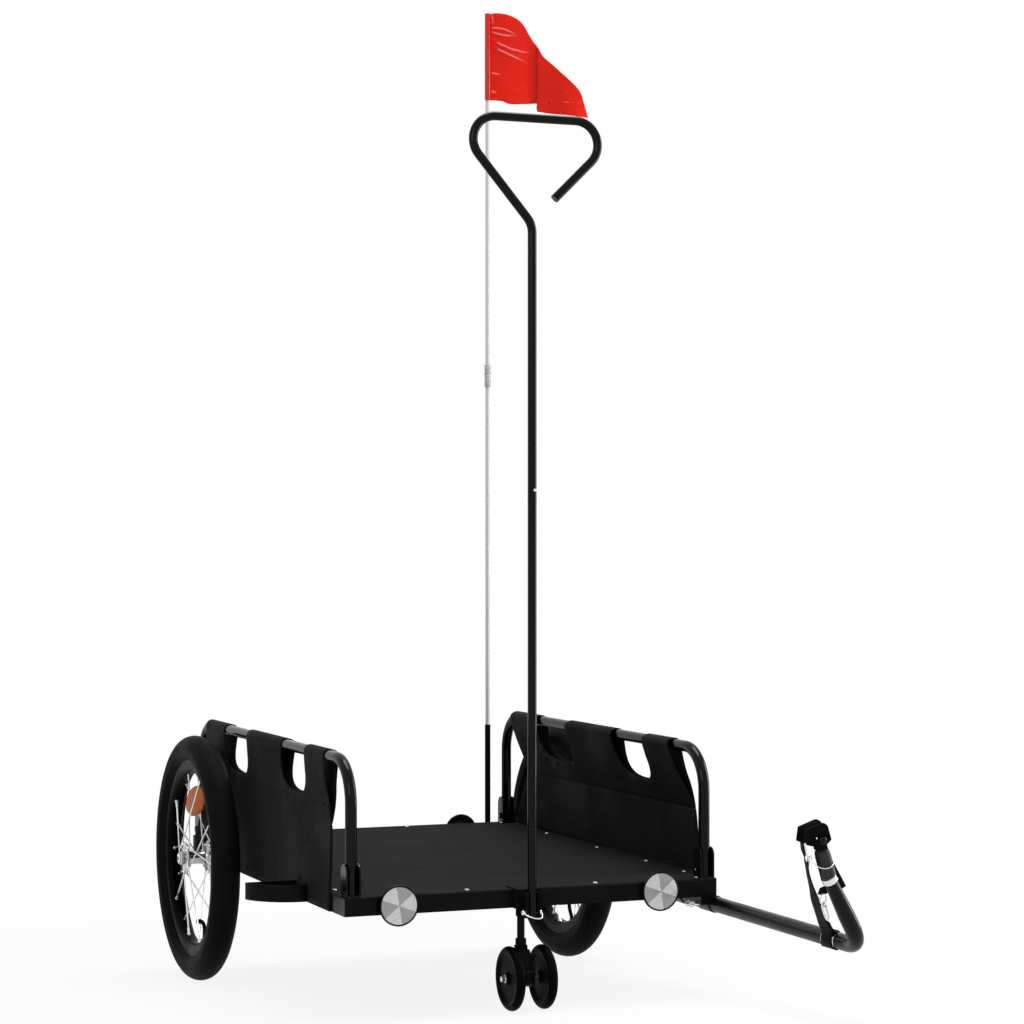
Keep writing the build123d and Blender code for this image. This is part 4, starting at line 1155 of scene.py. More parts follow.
def fold_line():
    """Section of the folded cloth, as (x, z) from the outer hem over the bar to the inner hem.

    The layers part at a seam below the windows and go round the bar as a loop."""
    wrap = HOOP_R + 0.0004
    turn = []
    for angle in range(-2, 199, 10):
        across, up = math.cos(math.radians(angle)), math.sin(math.radians(angle))
        turn.append((HOOP_X + across * (wrap if across > 0 else wrap + 0.005), HOOP_BAR_Z + wrap * up))
    rise = (SEAM_Z - DECK_TOP) / (HOOP_BAR_Z - DECK_TOP)
    seam_x = OUTER_FACE + (turn[0][0] - OUTER_FACE) * rise - (OUTER_FACE - INNER_FACE)
    return [(OUTER_FACE, RAIL_BOTTOM), (OUTER_FACE, DECK_TOP), *turn, (seam_x, SEAM_Z),
            (INNER_FACE, DECK_TOP), (INNER_FACE, RAIL_BOTTOM)]


class FoldedSection:
    """Carries lengths along the flat cloth to places on its folded section."""

    def __init__(self, points):
        self.points = [Vector(p) for p in points]
        self.marks = [0.0]
        for a, b in zip(self.points, self.points[1:]):
            self.marks.append(self.marks[-1] + (b - a).length)
        self.length = self.marks[-1]
        self.top = self.marks[len(self.marks) // 2]

    def place(self, run):
        """Point of the section at a length from the outer hem."""
        run = max(0.0, min(self.length, run))
        k = next(i for i in range(1, len(self.marks)) if run <= self.marks[i] + 1e-9)
        share = (run - self.marks[k - 1]) / (self.marks[k] - self.marks[k - 1])
        return self.points[k - 1].lerp(self.points[k], share)

    def run_at(self, z, inner=False):
        """Length from the outer hem to a height, on the outer or the inner layer."""
        spans = list(zip(self.points, self.points[1:], self.marks, self.marks[1:]))
        for a, b, m, n in (reversed(spans) if inner else spans):
            if min(a.y, b.y) - 1e-9 <= z <= max(a.y, b.y) + 1e-9 and abs(b.y - a.y) > 1e-6:
                return m + (n - m) * (z - a.y) / (b.y - a.y)
        return self.top


def smooth_outline(curve, points, corners=()):
    """Closed outline through flat points; those listed as corners stay sharp."""
    spline = curve.splines.new("BEZIER")
    spline.bezier_points.add(len(points) - 1)
    for k, (knot, at) in enumerate(zip(spline.bezier_points, points)):
        knot.co = (*at, 0)
        kind = "VECTOR" if k in corners else "AUTO"
        knot.handle_left_type = knot.handle_right_type = kind
    spline.use_cyclic_u = True
    spline.resolution_u = 5


def cut_cloth(name, outlines):
    """Flat mesh cut to smooth outlines, the later ones as holes in the first."""
    curve = bpy.data.curves.new(name, "CURVE")
    curve.dimensions = "2D"
    curve.fill_mode = "BOTH"
    for points, corners in outlines:
        smooth_outline(curve, points, corners)
    holder = bpy.data.objects.new(name, curve)
    bpy.context.scene.collection.objects.link(holder)
    bpy.context.view_layer.update()
    mesh = bpy.data.meshes.new_from_object(holder.evaluated_get(bpy.context.evaluated_depsgraph_get()))
    shape = bmesh.new()
    shape.from_mesh(mesh)
    bpy.data.objects.remove(holder)
    bpy.data.meshes.remove(mesh)
    bmesh.ops.remove_doubles(shape, verts=shape.verts, dist=1e-6)
    for face in shape.faces:
        if face.normal.z < 0:
            face.normal_flip()
    return shape


def rule_cloth(shape, hem, columns, rows):
    """Turns a hem in along every edge and rules the cloth into cells it can bend along."""
    keep = shape.edges.layers.int.new("keep")
    sewn = shape.verts.layers.float.new("hem")
    bmesh.ops.inset_region(shape, faces=shape.faces[:], thickness=hem, use_boundary=True,
                           use_even_offset=True)
    for vert in shape.verts:
        vert[sewn] = 0.0 if vert.is_boundary else 1.0
    for edge in shape.edges:
        edge[keep] = int(not edge.is_boundary and not any(v.is_boundary for v in edge.verts)
                         and len({f for f in edge.link_faces if any(v.is_boundary for v in f.verts)}) == 1)
    for places, normal in ((columns, (1, 0, 0)), (rows, (0, 1, 0))):
        for place in places:
            cut = bmesh.ops.bisect_plane(
                shape, geom=shape.verts[:] + shape.edges[:] + shape.faces[:], dist=1e-7,
                plane_co=Vector(normal) * place, plane_no=normal)
            for part in cut["geom_cut"]:
                if isinstance(part, bmesh.types.BMEdge):
                    part[keep] = 1
    loose = [e for e in shape.edges if not e[keep] and len(e.link_faces) == 2]
    bmesh.ops.dissolve_edges(shape, edges=loose, use_verts=False, use_face_split=False)
    bmesh.ops.triangulate(shape, faces=[f for f in shape.faces if len(f.verts) > 4])


def panel_outlines(section):
    """Flat outline of one panel and of its two windows, in metres along the trailer and along the cloth."""
    out = section.run_at
    foot, last = 0.0, section.length
    notch = out(RAIL_TOP + 0.0008)
    back = out(RAIL_TOP + 0.0008, True)
    bush_low, bush_high = AXLE_Y - 0.0086, AXLE_Y + 0.0086
    bush_top = out(WHEEL_R + 0.0086)
    bush_back = out(WHEEL_R + 0.0086, True)
    legs = (BUMPER_Y - 0.0005, BUMPER_Y + BUMPER_LENGTH - 0.004)
    leg = 0.0044
    edge = [(0.061, foot)]
    for y in legs:
        edge += [(y, foot), (y, notch), (y + leg, notch), (y + leg, foot)]
    edge += [(bush_low, foot), (bush_low, bush_top), (bush_high, bush_top), (bush_high, foot), (0.8055, foot)]
    rear = [(0.25, 0.785), (0.285, 0.76), (0.315, 0.7415), (0.337, 0.738), (0.366, 0.747), (0.395, 0.757)]
    side = [(0.804, out(DECK_TOP))] + [(y, out(z)) for z, y in rear]
    side += [(0.76, section.top)]
    side += [(y, out(z, True)) for z, y in reversed(rear)] + [(0.804, out(DECK_TOP, True))]
    far = [(0.8055, last), (bush_high, last), (bush_high, bush_back), (bush_low, bush_back), (bush_low, last)]
    for y in reversed(legs):
        far += [(y + leg, last), (y + leg, back), (y, back), (y, last)]
    far += [(0.061, last)]
    front = [(0.28, 0.0625), (0.313, 0.0665), (0.335, 0.0735), (0.352, 0.083), (0.372, 0.098), (0.4, 0.1105)]
    home = [(0.0615, out(DECK_TOP, True))] + [(y, out(z, True)) for z, y in front] + [(0.114, section.top)]
    home += [(y, out(z)) for z, y in reversed(front)] + [(0.0615, out(DECK_TOP))]
    points = edge + side + far + home
    straight = set(range(len(edge))) | set(range(len(edge) + len(side), len(edge) + len(side) + len(far)))
    outlines = [(points, straight)]
    for start, length in ((0.197, 0.131), (0.505, 0.142)):
        window = [(0.01, 0.406), (0.005, 0.388), (-0.001, 0.369), (0.002, 0.356), (0.012, 0.3492),
                  (0.036, 0.348), (0.068, 0.3492), (length - 0.038, 0.3545), (length - 0.02, 0.364),
                  (length - 0.009, 0.378),
                  (length - 0.004, 0.393), (length - 0.001, 0.408)]
        near = [(start + y, out(z)) for y, z in window]
        away = [(start + y, out(z, True)) for y, z in reversed(window)]
        outlines.append(([(start + 0.011, section.top)] + near + [(start + length, section.top)] + away, ()))
    return outlines


def side_panel(fabric, seed):
    """The left panel: cut, hemmed, folded over the bar, with soft waves between bar and rail."""
    section = FoldedSection(fold_line())
    shape = cut_cloth("panel_pattern", panel_outlines(section))
    bar = (section.run_at(HOOP_BAR_Z), section.run_at(HOOP_BAR_Z, True))
    deck_line, far_line = section.marks[1], section.marks[-2]
    seams = (section.run_at(SEAM_Z), section.marks[-3])
    columns = [0.07 + 0.0145 * k for k in range(52)]
    rows = [deck_line * 0.5, deck_line - 0.0005, far_line + deck_line * 0.5, far_line + 0.0005]
    rows += [bar[0] + (bar[1] - bar[0]) * k / 14 for k in range(15)]
    for seam, low, high in ((seams[0], deck_line, bar[0]), (seams[1], far_line, bar[1])):
        for start, end in ((low, seam), (seam, high)):
            away = math.copysign(0.0045, end - start)
            rows += [start + away + (end - start - 2 * away) * k / 7 for k in range(8)]
        rows += [seam, seam - 0.001, seam + 0.001]
    rule_cloth(shape, fabric.hem, columns, sorted(rows))
    area = sum(f.calc_area() for f in shape.faces)
    lay_flat(shape)
    sewn = shape.verts.layers.float["hem"]
    for vert in shape.verts:
        y, run = vert.co.x, vert.co.y
        x, z = section.place(run)
        inner = run > section.top
        free = bar[0] < run < bar[1] or z < DECK_TOP
        share = 0.0 if free else (z - DECK_TOP) / (HOOP_BAR_Z - DECK_TOP)
        wave = noise.noise(Vector((y * 8, z * 6, seed))) + 0.35 * noise.noise(Vector((y * 26, z * 14, seed)))
        push = math.sin(math.pi * share) * (fabric.slack * wave - 0.0008)
        seam = math.exp(-((z - SEAM_Z) / 0.0016) ** 2)
        if z > SEAM_Z and inner and not free:
            part = (z - SEAM_Z) / (HOOP_BAR_Z - SEAM_Z)
            push -= math.sin(math.pi * part) * 0.0014 * (1 + noise.noise(Vector((y * 11, z * 9, seed + 5))))
        push -= (-1 if inner else 1) * 0.0006 * seam
        if seam > 0.9:
            vert[sewn] = 0.72
        vert.co = (x + push, y, z)
    return shape, area, section.length


def panel_screws(side):
    """Small dark screws that hold the panel's foot to the rail."""
    shape = bmesh.new()
    for y in (0.078, 0.336, 0.489, 0.62, 0.785):
        place = (side * (OUTER_FACE + 0.001), y, RAIL_BOTTOM + 0.0125)
        add(shape, screw(0.0034, 0.0016), aim(place, (side, 0, 0)))
    return shape


class TRAILER_OT_panels(bpy.types.Operator):
    """Builds the two fabric side panels with their hems, windows and screws"""

    bl_idname = "trailer.panels"
    bl_label = "Fabric side panels"

    def execute(self, context):
        fabric = context.scene.trailer_fabric
        for seed, (name, side) in enumerate(SIDES.items()):
            shape, area, length = side_panel(fabric, 4.7 * (seed + 1))
            if side < 0:
                move(shape, Matrix.Diagonal((-1, 1, 1, 1)))
                bmesh.ops.reverse_faces(shape, faces=shape.faces)
            cloth = piece(shape, "panel_cloth_" + name, "chassis", [finish["fabric"]],
                          replaces=("side_panel_" + name,), ready=True, smooth=70)
            thicken(cloth, fabric.thickness, 1.0)
            screws = piece(panel_screws(side), "panel_screws_" + name, "chassis",
                           [finish["plastic"]])
        return {"FINISHED"}


# Reflectors, screws and the caster


def round_reflector():
    """Disc reflector on the z axis: a black cup with a domed rim and a moulded face."""
    shape = lathe([(0, 0), (0.0165, 0), (0.018, 0.0008), (0.019, 0.0042), (0.0282, 0.0052), (0.0291, 0.0062),
                   (0.0292, 0.0084), (0.0289, 0.0094),
                   (0.0281, 0.0099), (0.0274, 0.0094), (0.0271, 0.008), (0, 0.008)], 64)
    add(shape, lathe([(0, 0.006), (0.0269, 0.006), (0.0269, 0.0088), (0.0262, 0.0093), (0.014, 0.0098),
                      (0.0022, 0.0099), (0.0016, 0.0092), (0, 0.0092)], 64), material=1)
    lay_flat(shape)
    return shape


def deck_screws(side):
    """Plated screws along one edge of the deck and the half of its front and rear edges."""
    shape = bmesh.new()
    places = [(HALF - 0.0125, y) for y in (0.085, 0.223, 0.414, 0.629)]
    places += [(x, 0.0165) for x in (0.101, 0.267)] + [(x, LENGTH - 0.0165) for x in (0.089, 0.267)]
    for x, y in places:
        add(shape, screw(0.0036, 0.0016), Matrix.Translation((side * x, y, DECK_TOP)))
    return shape


def hoop_screws(side):
    """Bolt heads and nuts on the cheeks of both hoop brackets of a side."""
    shape = bmesh.new()
    cheek = 0.0112
    for y in (0.014, LENGTH - 0.014):
        for face in (-1, 1):
            at = (side * HOOP_X + face * cheek, y, DECK_TOP + 0.012)
            add(shape, washer(0.005, 0.0024, 0.0008), aim(at, (face, 0, 0)), 1)
            head = screw(0.0032, 0.002) if face == side else hex_nut(0.0034, 0.0018, 0.0022)
            add(shape, head, aim(at, (face, 0, 0)) @ Matrix.Translation((0, 0, 0.0006)))
    return shape


def bracket_screws():
    """Dark screws of the front bracket's plate."""
    shape = bmesh.new()
    for x in (-0.0115, 0.0115):
        add(shape, screw(0.0042, 0.0026), Matrix.Translation((BRACKET_X + x, 0.0055, DECK_TOP)))
    return shape


class TRAILER_OT_fittings(bpy.types.Operator):
    """Adds the round reflectors, the deck's screws and the bolts of the hoop brackets"""

    bl_idname = "trailer.fittings"
    bl_label = "Reflectors and screws"

    def execute(self, context):
        rise = RAIL_BOTTOM + 0.013
        for name, side in SIDES.items():
            front_x = 0.196 if side == 1 else 0.213
            for kind, place, facing, face in (("front", (side * front_x, 0, rise), (0, -1, 0), "wedge"),
                                              ("rear", (side * 0.199, LENGTH, rise), (0, 1, 0), "red")):
                shape = round_reflector()
                move(shape, aim(place, facing))
                piece(shape, f"{kind}_disc_{name}", "chassis",
                      [finish["plastic"], finish[face]], replaces=[f"reflector_{kind}_{name}"])
            piece(deck_screws(side), f"deck_screws_{name}", "chassis", [finish["dull_zinc"]])
            piece(hoop_screws(side), f"hoop_screws_{name}", "chassis",
                  [finish["dull_zinc"], finish["paint"]])
        piece(bracket_screws(), "bracket_screws", "chassis", [finish["bore"]])
        return {"FINISHED"}


def caster_wheel():
    """Rubber wheel about the x axis: round tread, dished sides and a raised hub."""
    half = CASTER_HALF
    tread = [(CASTER_R - half * (1 - math.cos(math.radians(a))), half * math.sin(math.radians(a)))
             for a in range(-75, 76, 15)]
    profile = [(0.0043, -half), (0.0078, -half), (0.0092, -0.0066), (0.0098, -0.0048), (0.0285, -0.0036),
               (0.0335, -0.0042), (0.0362, -0.0064)] + tread
    profile += [(radius, -height) for radius, height in reversed(profile[:7])] + [(0.0043, -half)]
    shape = lathe(profile, 64)
    return move(shape, ALONG_AXLE)


def caster_axle_ends():
    """Washers on both ends of the caster's axle, a nut on one and a head on the other."""
    shape = bmesh.new()
    out = CASTER_OUT + CASTER_HALF
    for face in (-1, 1):
        at = CASTER_AXLE + Vector((face * (out + 0.0006), 0, 0))
        add(shape, washer(0.0058, 0.0041, 0.0012), aim(at, (face, 0, 0)))
        end = hex_nut(0.0039, 0.0028, 0.0032) if face < 0 else screw(0.0037, 0.003, recess=False)
        add(shape, end, aim(at + Vector((face * 0.0011, 0, 0)), (face, 0, 0)))
    return shape


def pin_bail():
    """Spring wire from the pin's head, round under the handle's foot, to the pin's end."""
    reach = 0.0148
    left, right = BRACKET_X + reach, BRACKET_X - reach
    low = PIN_Z - 0.0074
    points = [(right + 0.001, HANDLE_Y - 0.001, PIN_Z), (right + 0.0036, HANDLE_Y - 0.0085, PIN_Z - 0.0035),
              (BRACKET_X, HANDLE_Y - 0.013, low), (left - 0.0062, HANDLE_Y - 0.0125, low - 0.0004),
              (left - 0.0018, HANDLE_Y - 0.0085, low + 0.0018),
              (left + 0.0004, HANDLE_Y - 0.001, PIN_Z - 0.001), (left - 0.0012, HANDLE_Y, PIN_Z + 0.0018)]
    shape = bent_wire(points, 0.00105)
    add(shape, screw(0.0038, 0.0022, recess=False), aim((right + 0.0012, HANDLE_Y, PIN_Z), (-1, 0, 0)))
    return shape


def handle_trim():
    """Rolled edge and spring button where the handle's two tubes join."""
    joint_z = PIN_Z + 0.5915
    shape = lathe([(0.0062, -0.0006), (0.0069, -0.0006), (0.0071, 0), (0.0069, 0.0006), (0.0062, 0.0006),
                   (0.0062, -0.0006)], 40)
    bmesh.ops.translate(shape, verts=shape.verts, vec=(BRACKET_X, HANDLE_Y, joint_z))
    button = lathe([(0, 0), (0.0024, 0), (0.0024, 0.0012), (0.0018, 0.002), (0, 0.0024)], 20)
    add(shape, button, aim((BRACKET_X + 0.0016, HANDLE_Y - 0.0059, joint_z + 0.0155), (0.25, -1, 0)), 1)
    return shape


class TRAILER_OT_caster(bpy.types.Operator):
    """Adds the caster's rubber wheels, its nuts and screw, and the wire and button of the handle"""

    bl_idname = "trailer.caster"
    bl_label = "Caster and handle trim"

    def execute(self, context):
        for name, side in SIDES.items():
            shape = caster_wheel()
            bmesh.ops.translate(shape, verts=shape.verts, vec=CASTER_AXLE + Vector((side * CASTER_OUT, 0, 0)))
            piece(shape, f"caster_tread_{name}", "caster_wheels", [finish["caster"]],
                  replaces=[f"caster_wheel_{name}"])
        piece(caster_axle_ends(), "caster_nuts", "caster", [finish["dull_zinc"]])
        piece(pin_bail(), "pin_bail", "chassis", [finish["zinc"]])
        piece(handle_trim(), "handle_trim", "handle", [finish["paint"], finish["zinc"]])
        return {"FINISHED"}


# Flag on its rod


FLAG_TOP = 1.66
FLAG_FOOT = 1.505
SLEEVE_OUT = 0.0052
FOLD_X = 0.3455
FOLD_TUCK = 0.0016
# What stands forward also shifts to the right and down by these shares, which keeps the outline's place
FLAG_ASIDE = 0.41
FLAG_DROP = 0.176
VINYL_CREASES = (
    (1.664, -3.48, 0.0, 0.0008, 0.0065), (1.6327, 0.23, -8.55, 0.003, 0.054),
    (1.6269, -0.27, 3.67, 0.002, 0.052), (1.615, -0.54, 3.53, 0.012, 0.082),
    (1.6012, -0.36, 0.0, 0.013, 0.072), (1.5536, -0.107, 0.0, 0.001, 0.02), (1.5205, -0.13, 0.0, 0.0, 0.012),
)


def pennant_outline():
    """Flat cut of the pennant, as (length from its sleeve, height)."""
    start = FLAG_X + SLEEVE_OUT
    fold, tuck = FOLD_X - start, 2 * FOLD_TUCK
    top = [(0, FLAG_TOP), (0.011, 1.662), (0.026, 1.6618), (0.044, 1.6575), (0.0565, 1.6512), (0.0655, 1.642),
           (0.075, 1.627), (fold - 0.002, 1.6102)]
    beyond = [(0.001, 1.6065), (0.0108, 1.5916), (0.0279, 1.5784), (0.0466, 1.5641), (0.0656, 1.5492),
              (0.0779, 1.5384), (0.085, 1.5288), (0.0905, 1.5133), (0.0999, 1.4835)]
    top += [(fold + tuck + run, height) for run, height in beyond]
    foot = [(0.0968, 1.4855), (0.0623, 1.4878), (0.0264, 1.4885), (0.0008, 1.4906)]
    bottom = [(fold + tuck + run, height) for run, height in foot]
    bottom += [(fold - 0.001, 1.5052), (0.0625, 1.5025), (0.032, 1.502), (0.026, 1.5046), (0, 1.5057)]
    corners = {0, len(top) - 1, len(top), len(top) + len(foot) - 1, len(top) + len(foot),
               len(top) + len(bottom) - 1}
    return top + bottom, corners


def pennant_place(run, height):
    """Where a point of the flat pennant hangs: a soft tuck folds it back on itself before the tip."""
    start = FLAG_X + SLEEVE_OUT
    fold = FOLD_X - start
    share = max(0.0, min(1.0, (run - fold) / (2 * FOLD_TUCK)))
    beyond = max(0.0, run - fold - 2 * FOLD_TUCK)
    x = start + min(run, fold) - 0.9 * FOLD_TUCK * math.sin(math.pi * share) + beyond
    recess = max(0.0, min(1.0, (run / fold - 0.55) / 0.45))
    forward = 0.0035 * math.sin(math.pi * min(1.0, 1.25 * run / fold)) if run < 0.8 * fold else 0.0
    forward += 0.0015 * share + 0.003 * recess ** 2
    billow = 1 + math.sin(math.pi * min(1.0, beyond / 0.1))
    forward += 0.003 * min(1.0, beyond / 0.004) + 0.12 * beyond * billow
    forward -= 0.0012 * noise.noise(Vector((run * 22, height * 9, 3.1))) * min(1.0, run / 0.02)
    for at, slope, bend, _, reach in VINYL_CREASES:
        off = (height - at - slope * run - bend * run * run) / 0.0024
        near = max(0.0, 1.0 - (run / reach) ** 2) if run < reach else 0.0
        forward += 0.0012 * near * math.exp(-off * off)
    return Vector((x - FLAG_ASIDE * forward, FLAG_Y - forward, height - FLAG_DROP * forward))


def pennant():
    """Cut, ruled and hung pennant; returns it with its flat area."""
    outline, corners = pennant_outline()
    shape = cut_cloth("pennant_pattern", [(outline, corners)])
    columns = [0.003 * k for k in range(1, 70)]
    rows = [1.4831 + 0.003 * k for k in range(61)]
    rule_cloth(shape, 0.0035, columns, rows)
    area = sum(f.calc_area() for f in shape.faces)
    lay_flat(shape)
    for vert in shape.verts:
        vert.co = pennant_place(vert.co.x, vert.co.y)
    return shape, area


def pennant_sleeve():
    """Sewn sleeve of the pennant round the rod."""
    shape = lathe([(0.0042, 0), (0.0049, 0), (0.0051, 0.001), (0.0051, 0.154), (0.0049, 0.1548),
                   (0.0042, 0.1548), (0.0042, 0)], 24)
    for vert in shape.verts:
        if vert.co.x > 0.003 and vert.co.xy.length > 0.0046:
            vert.co.y *= 0.6
    bmesh.ops.translate(shape, verts=shape.verts, vec=(FLAG_X, FLAG_Y, FLAG_FOOT))
    return shape


def ferrule():
    """Clear joining tube of the rod's halves with a line where they meet."""
    joint_z = FLAG_FOOT - 0.4915
    shape = lathe([(0.0041, -0.02), (0.0054, -0.02), (0.0058, -0.0192), (0.0058, -0.0006), (0.0054, 0),
                   (0.0058, 0.0006), (0.0058, 0.0192), (0.0054, 0.02), (0.0041, 0.02), (0.0041, -0.02)], 32)
    add(shape, lathe([(0.00405, -0.0006), (0.0061, -0.0006), (0.0061, 0.0006), (0.00405, 0.0006),
                      (0.00405, -0.0006)], 32), material=1)
    bmesh.ops.translate(shape, verts=shape.verts, vec=(FLAG_X, FLAG_Y, joint_z))
    return shape


class TRAILER_OT_flag(bpy.types.Operator):
    """Adds the vinyl pennant with its sleeve and the rod's clear ferrule"""

    bl_idname = "trailer.flag"
    bl_label = "Safety flag"

    def execute(self, context):
        shape, area = pennant()
        made = piece(shape, "pennant_cloth", "chassis", [finish["vinyl"]],
                     replaces=["flag_pennant"], smooth=60.0, ready=True)
        thicken(made, 0.0005)
        sleeve = piece(pennant_sleeve(), "pennant_sleeve", "chassis", [finish["sleeve"]])
        piece(ferrule(), "clear_ferrule", "chassis",
              [finish["ferrule"], finish["dull_zinc"]], replaces=["flag_ferrule"])
        return {"FINISHED"}


# Straps, pins and wires of the tow arm


def at_hitch(up, aside=0.0, across=0.0):
    """Point at the hitch, measured from its bolt along the knuckle, to its side and along the bolt."""
    return HITCH_BOLT + HITCH_UP * up + HITCH_ASIDE * aside + HITCH_ACROSS * across


def through(points, at):
    """Point of a smooth line through given points; at counts the points passed."""
    k = min(int(at), len(points) - 2)
    f = at - k
    before, a, b, after = (points[max(0, min(len(points) - 1, k + step))] for step in (-1, 0, 1, 2))
    return 0.5 * (2 * a + (b - before) * f + (2 * before - 5 * a + 4 * b - after) * f ** 2
                  + (3 * a - before - 3 * b + after) * f ** 3)


def webbing(stations, width, steps=8, lanes=4):
    """Strip of webbing through (middle, width direction) stations; returns it with its length."""
    middles = [Vector(m) for m, w in stations]
    ways = [Vector(w).normalized() for m, w in stations]
    count = (len(stations) - 1) * steps
    line = [through(middles, k / steps) for k in range(count + 1)]
    marks = [0.0]
    for a, b in zip(line, line[1:]):
        marks.append(marks[-1] + (b - a).length)
    shape = bmesh.new()
    bmesh.ops.create_grid(shape, x_segments=count, y_segments=lanes, size=0.5)
    share = {vert: (round((vert.co.x + 0.5) * count), vert.co.y) for vert in shape.verts}
    for vert, (k, lane) in share.items():
        vert.co = (marks[k], lane * width, 0)
    lay_flat(shape)
    for vert, (k, lane) in share.items():
        along = (line[min(k + 1, count)] - line[max(k - 1, 0)]).normalized()
        across = through(ways, k / steps).normalized()
        vert.co = line[k] + across * lane * width / math.sqrt(1 - across.dot(along) ** 2)
    return shape, marks[-1]


def strap_piece(stations, width, thickness, name, body, replaces):
    """Webbing piece with its real thickness; returns the object and the strip's length."""
    shape, length = webbing(stations, width)
    made = piece(shape, name, body, [finish["webbing"]], replaces=replaces,
                 smooth=60.0, ready=True)
    thicken(made, thickness)
    return made, length


STRAP_MIDDLE = -0.348
STRAP_SKEW = 0.9
STRAP_WIDTH = 0.03
HOOK_WIDTH = 0.014
LOOP_WIDTH = 0.012
WEBBING = 0.0016
# The tow strap is still at its foot and rides with the bracket at its head
STRAP_FOOT = Vector((0.2548, -0.384, 0.2305))
STRAP_HEAD = at_hitch(-0.021, 0.0235)


def tow_strap_stations():
    """Loop round the arm, sewn to itself, then up to the side of the hitch with a slight twist."""
    tube = Vector((ARM_X, STRAP_MIDDLE, ARM_Z))
    out = Vector((0.78, 0, 0.63)).normalized()
    up = Vector((-0.63, 0, 0.78)).normalized()
    lap = ARM_R + 0.0012

    def skewed(offset):
        return tube + offset + Vector((0, STRAP_SKEW * offset.x, 0))

    rows = [(skewed(up * 0.036 + out * 0.001), 3), (skewed(up * 0.02 + out * 0.0016), 1)]
    for angle in range(112, -208, -29):
        turn = math.radians(angle)
        rows.append((skewed(Vector((math.cos(turn), 0, math.sin(turn))) * lap), 0))
    rows += [(skewed(up * 0.02 - out * 0.0012), 1), (skewed(up * 0.036 - out * 0.0008), 3)]
    for place, twist in (((0.2535, -0.3836, 0.2304), 9), ((0.2334, -0.4089, 0.2541), 18),
                         ((0.213, -0.4349, 0.278), 22.5), ((0.2001, -0.4533, 0.2953), 23.5)):
        rows.append((Vector(place), twist))
    rows += [(at_hitch(-0.021, 0.0243), 22), (at_hitch(-0.008, 0.0252), 20), (at_hitch(0.004, 0.0232), 20)]
    return [(at, (math.sin(math.radians(twist)), math.cos(math.radians(twist)), 0)) for at, twist in rows]


def hook_strap_stations():
    """From behind the knuckle straight down the arm's far side to its square end."""
    ways = (0.004, 0.001), (-0.03, -0.0065), (-0.06, -0.0132), (-0.0885, -0.0195)
    places = [at_hitch(up, aside, -0.0136) for up, aside in ways]
    return [(at, (places[0] - places[-1]).cross(HITCH_ACROSS)) for at in places]


def hook_loop_stations():
    """From the strap's end across behind the arm, round the hook's ring and back on itself."""
    rows = []
    for up, aside, across, twist in ((-0.0815, -0.0165, -0.0162, 0), (-0.0825, -0.008, -0.0172, 5),
                                     (-0.0818, 0.002, -0.0178, 15), (-0.0802, 0.0098, -0.0176, 35),
                                     (-0.0798, 0.0122, -0.0158, 45), (-0.0802, 0.0098, -0.0142, 35),
                                     (-0.0815, 0.002, -0.0148, 15)):
        turn = math.radians(twist)
        rows.append((at_hitch(up, aside, across), HITCH_UP * math.cos(turn) + HITCH_ACROSS * math.sin(turn)))
    return rows


def strap_sleeve():
    """Plated sleeve under the strap's loop."""
    shape = lathe([(ARM_R, -0.018), (ARM_R + 0.0009, -0.0178), (ARM_R + 0.0011, -0.0172),
                   (ARM_R + 0.0011, 0.0172), (ARM_R + 0.0009, 0.0178), (ARM_R, 0.018)], 48)
    move(shape, aim((ARM_X, STRAP_MIDDLE, ARM_Z), (0, 1, 0)))
    for vert in shape.verts:
        vert.co.y += STRAP_SKEW * (vert.co.x - ARM_X)
    return shape


def coupler_band():
    """Rolled band over the coupler's ring."""
    shape = lathe([(0.0099, -0.0046), (0.0104, -0.0044), (0.0107, -0.0036), (0.0103, -0.0028),
                   (0.0103, 0.0028), (0.0107, 0.0036), (0.0104, 0.0044), (0.0099, 0.0046)], 40)
    return move(shape, aim(RING_MIDDLE, ARM_UP))


def ribbed_rubber():
    """Rubber block from the ring to the knuckle, with shallow ribs and a rounded crown."""
    profile = [(0, 0.001), (0.0093, 0.001), (0.0104, 0.0022)]
    height = 0.004
    while height < 0.0345:
        profile += [(0.0104, height), (0.01075, height + 0.0008), (0.01075, height + 0.0026),
                    (0.0104, height + 0.0034)]
        height += 0.0046
    profile += [(0.0103, 0.0385), (0.0096, 0.0417), (0.0078, 0.0438), (0.005, 0.0445), (0, 0.0446)]
    shape = lathe(profile, 48)
    move(shape, aim(RING_MIDDLE, HITCH_UP))
    bmesh.ops.bisect_plane(shape, geom=shape.verts[:] + shape.edges[:] + shape.faces[:], dist=1e-6,
                           plane_co=RING_MIDDLE + ARM_UP * 0.0045, plane_no=ARM_UP, clear_inner=True)
    bmesh.ops.holes_fill(shape, edges=[e for e in shape.edges if e.is_boundary])
    return shape


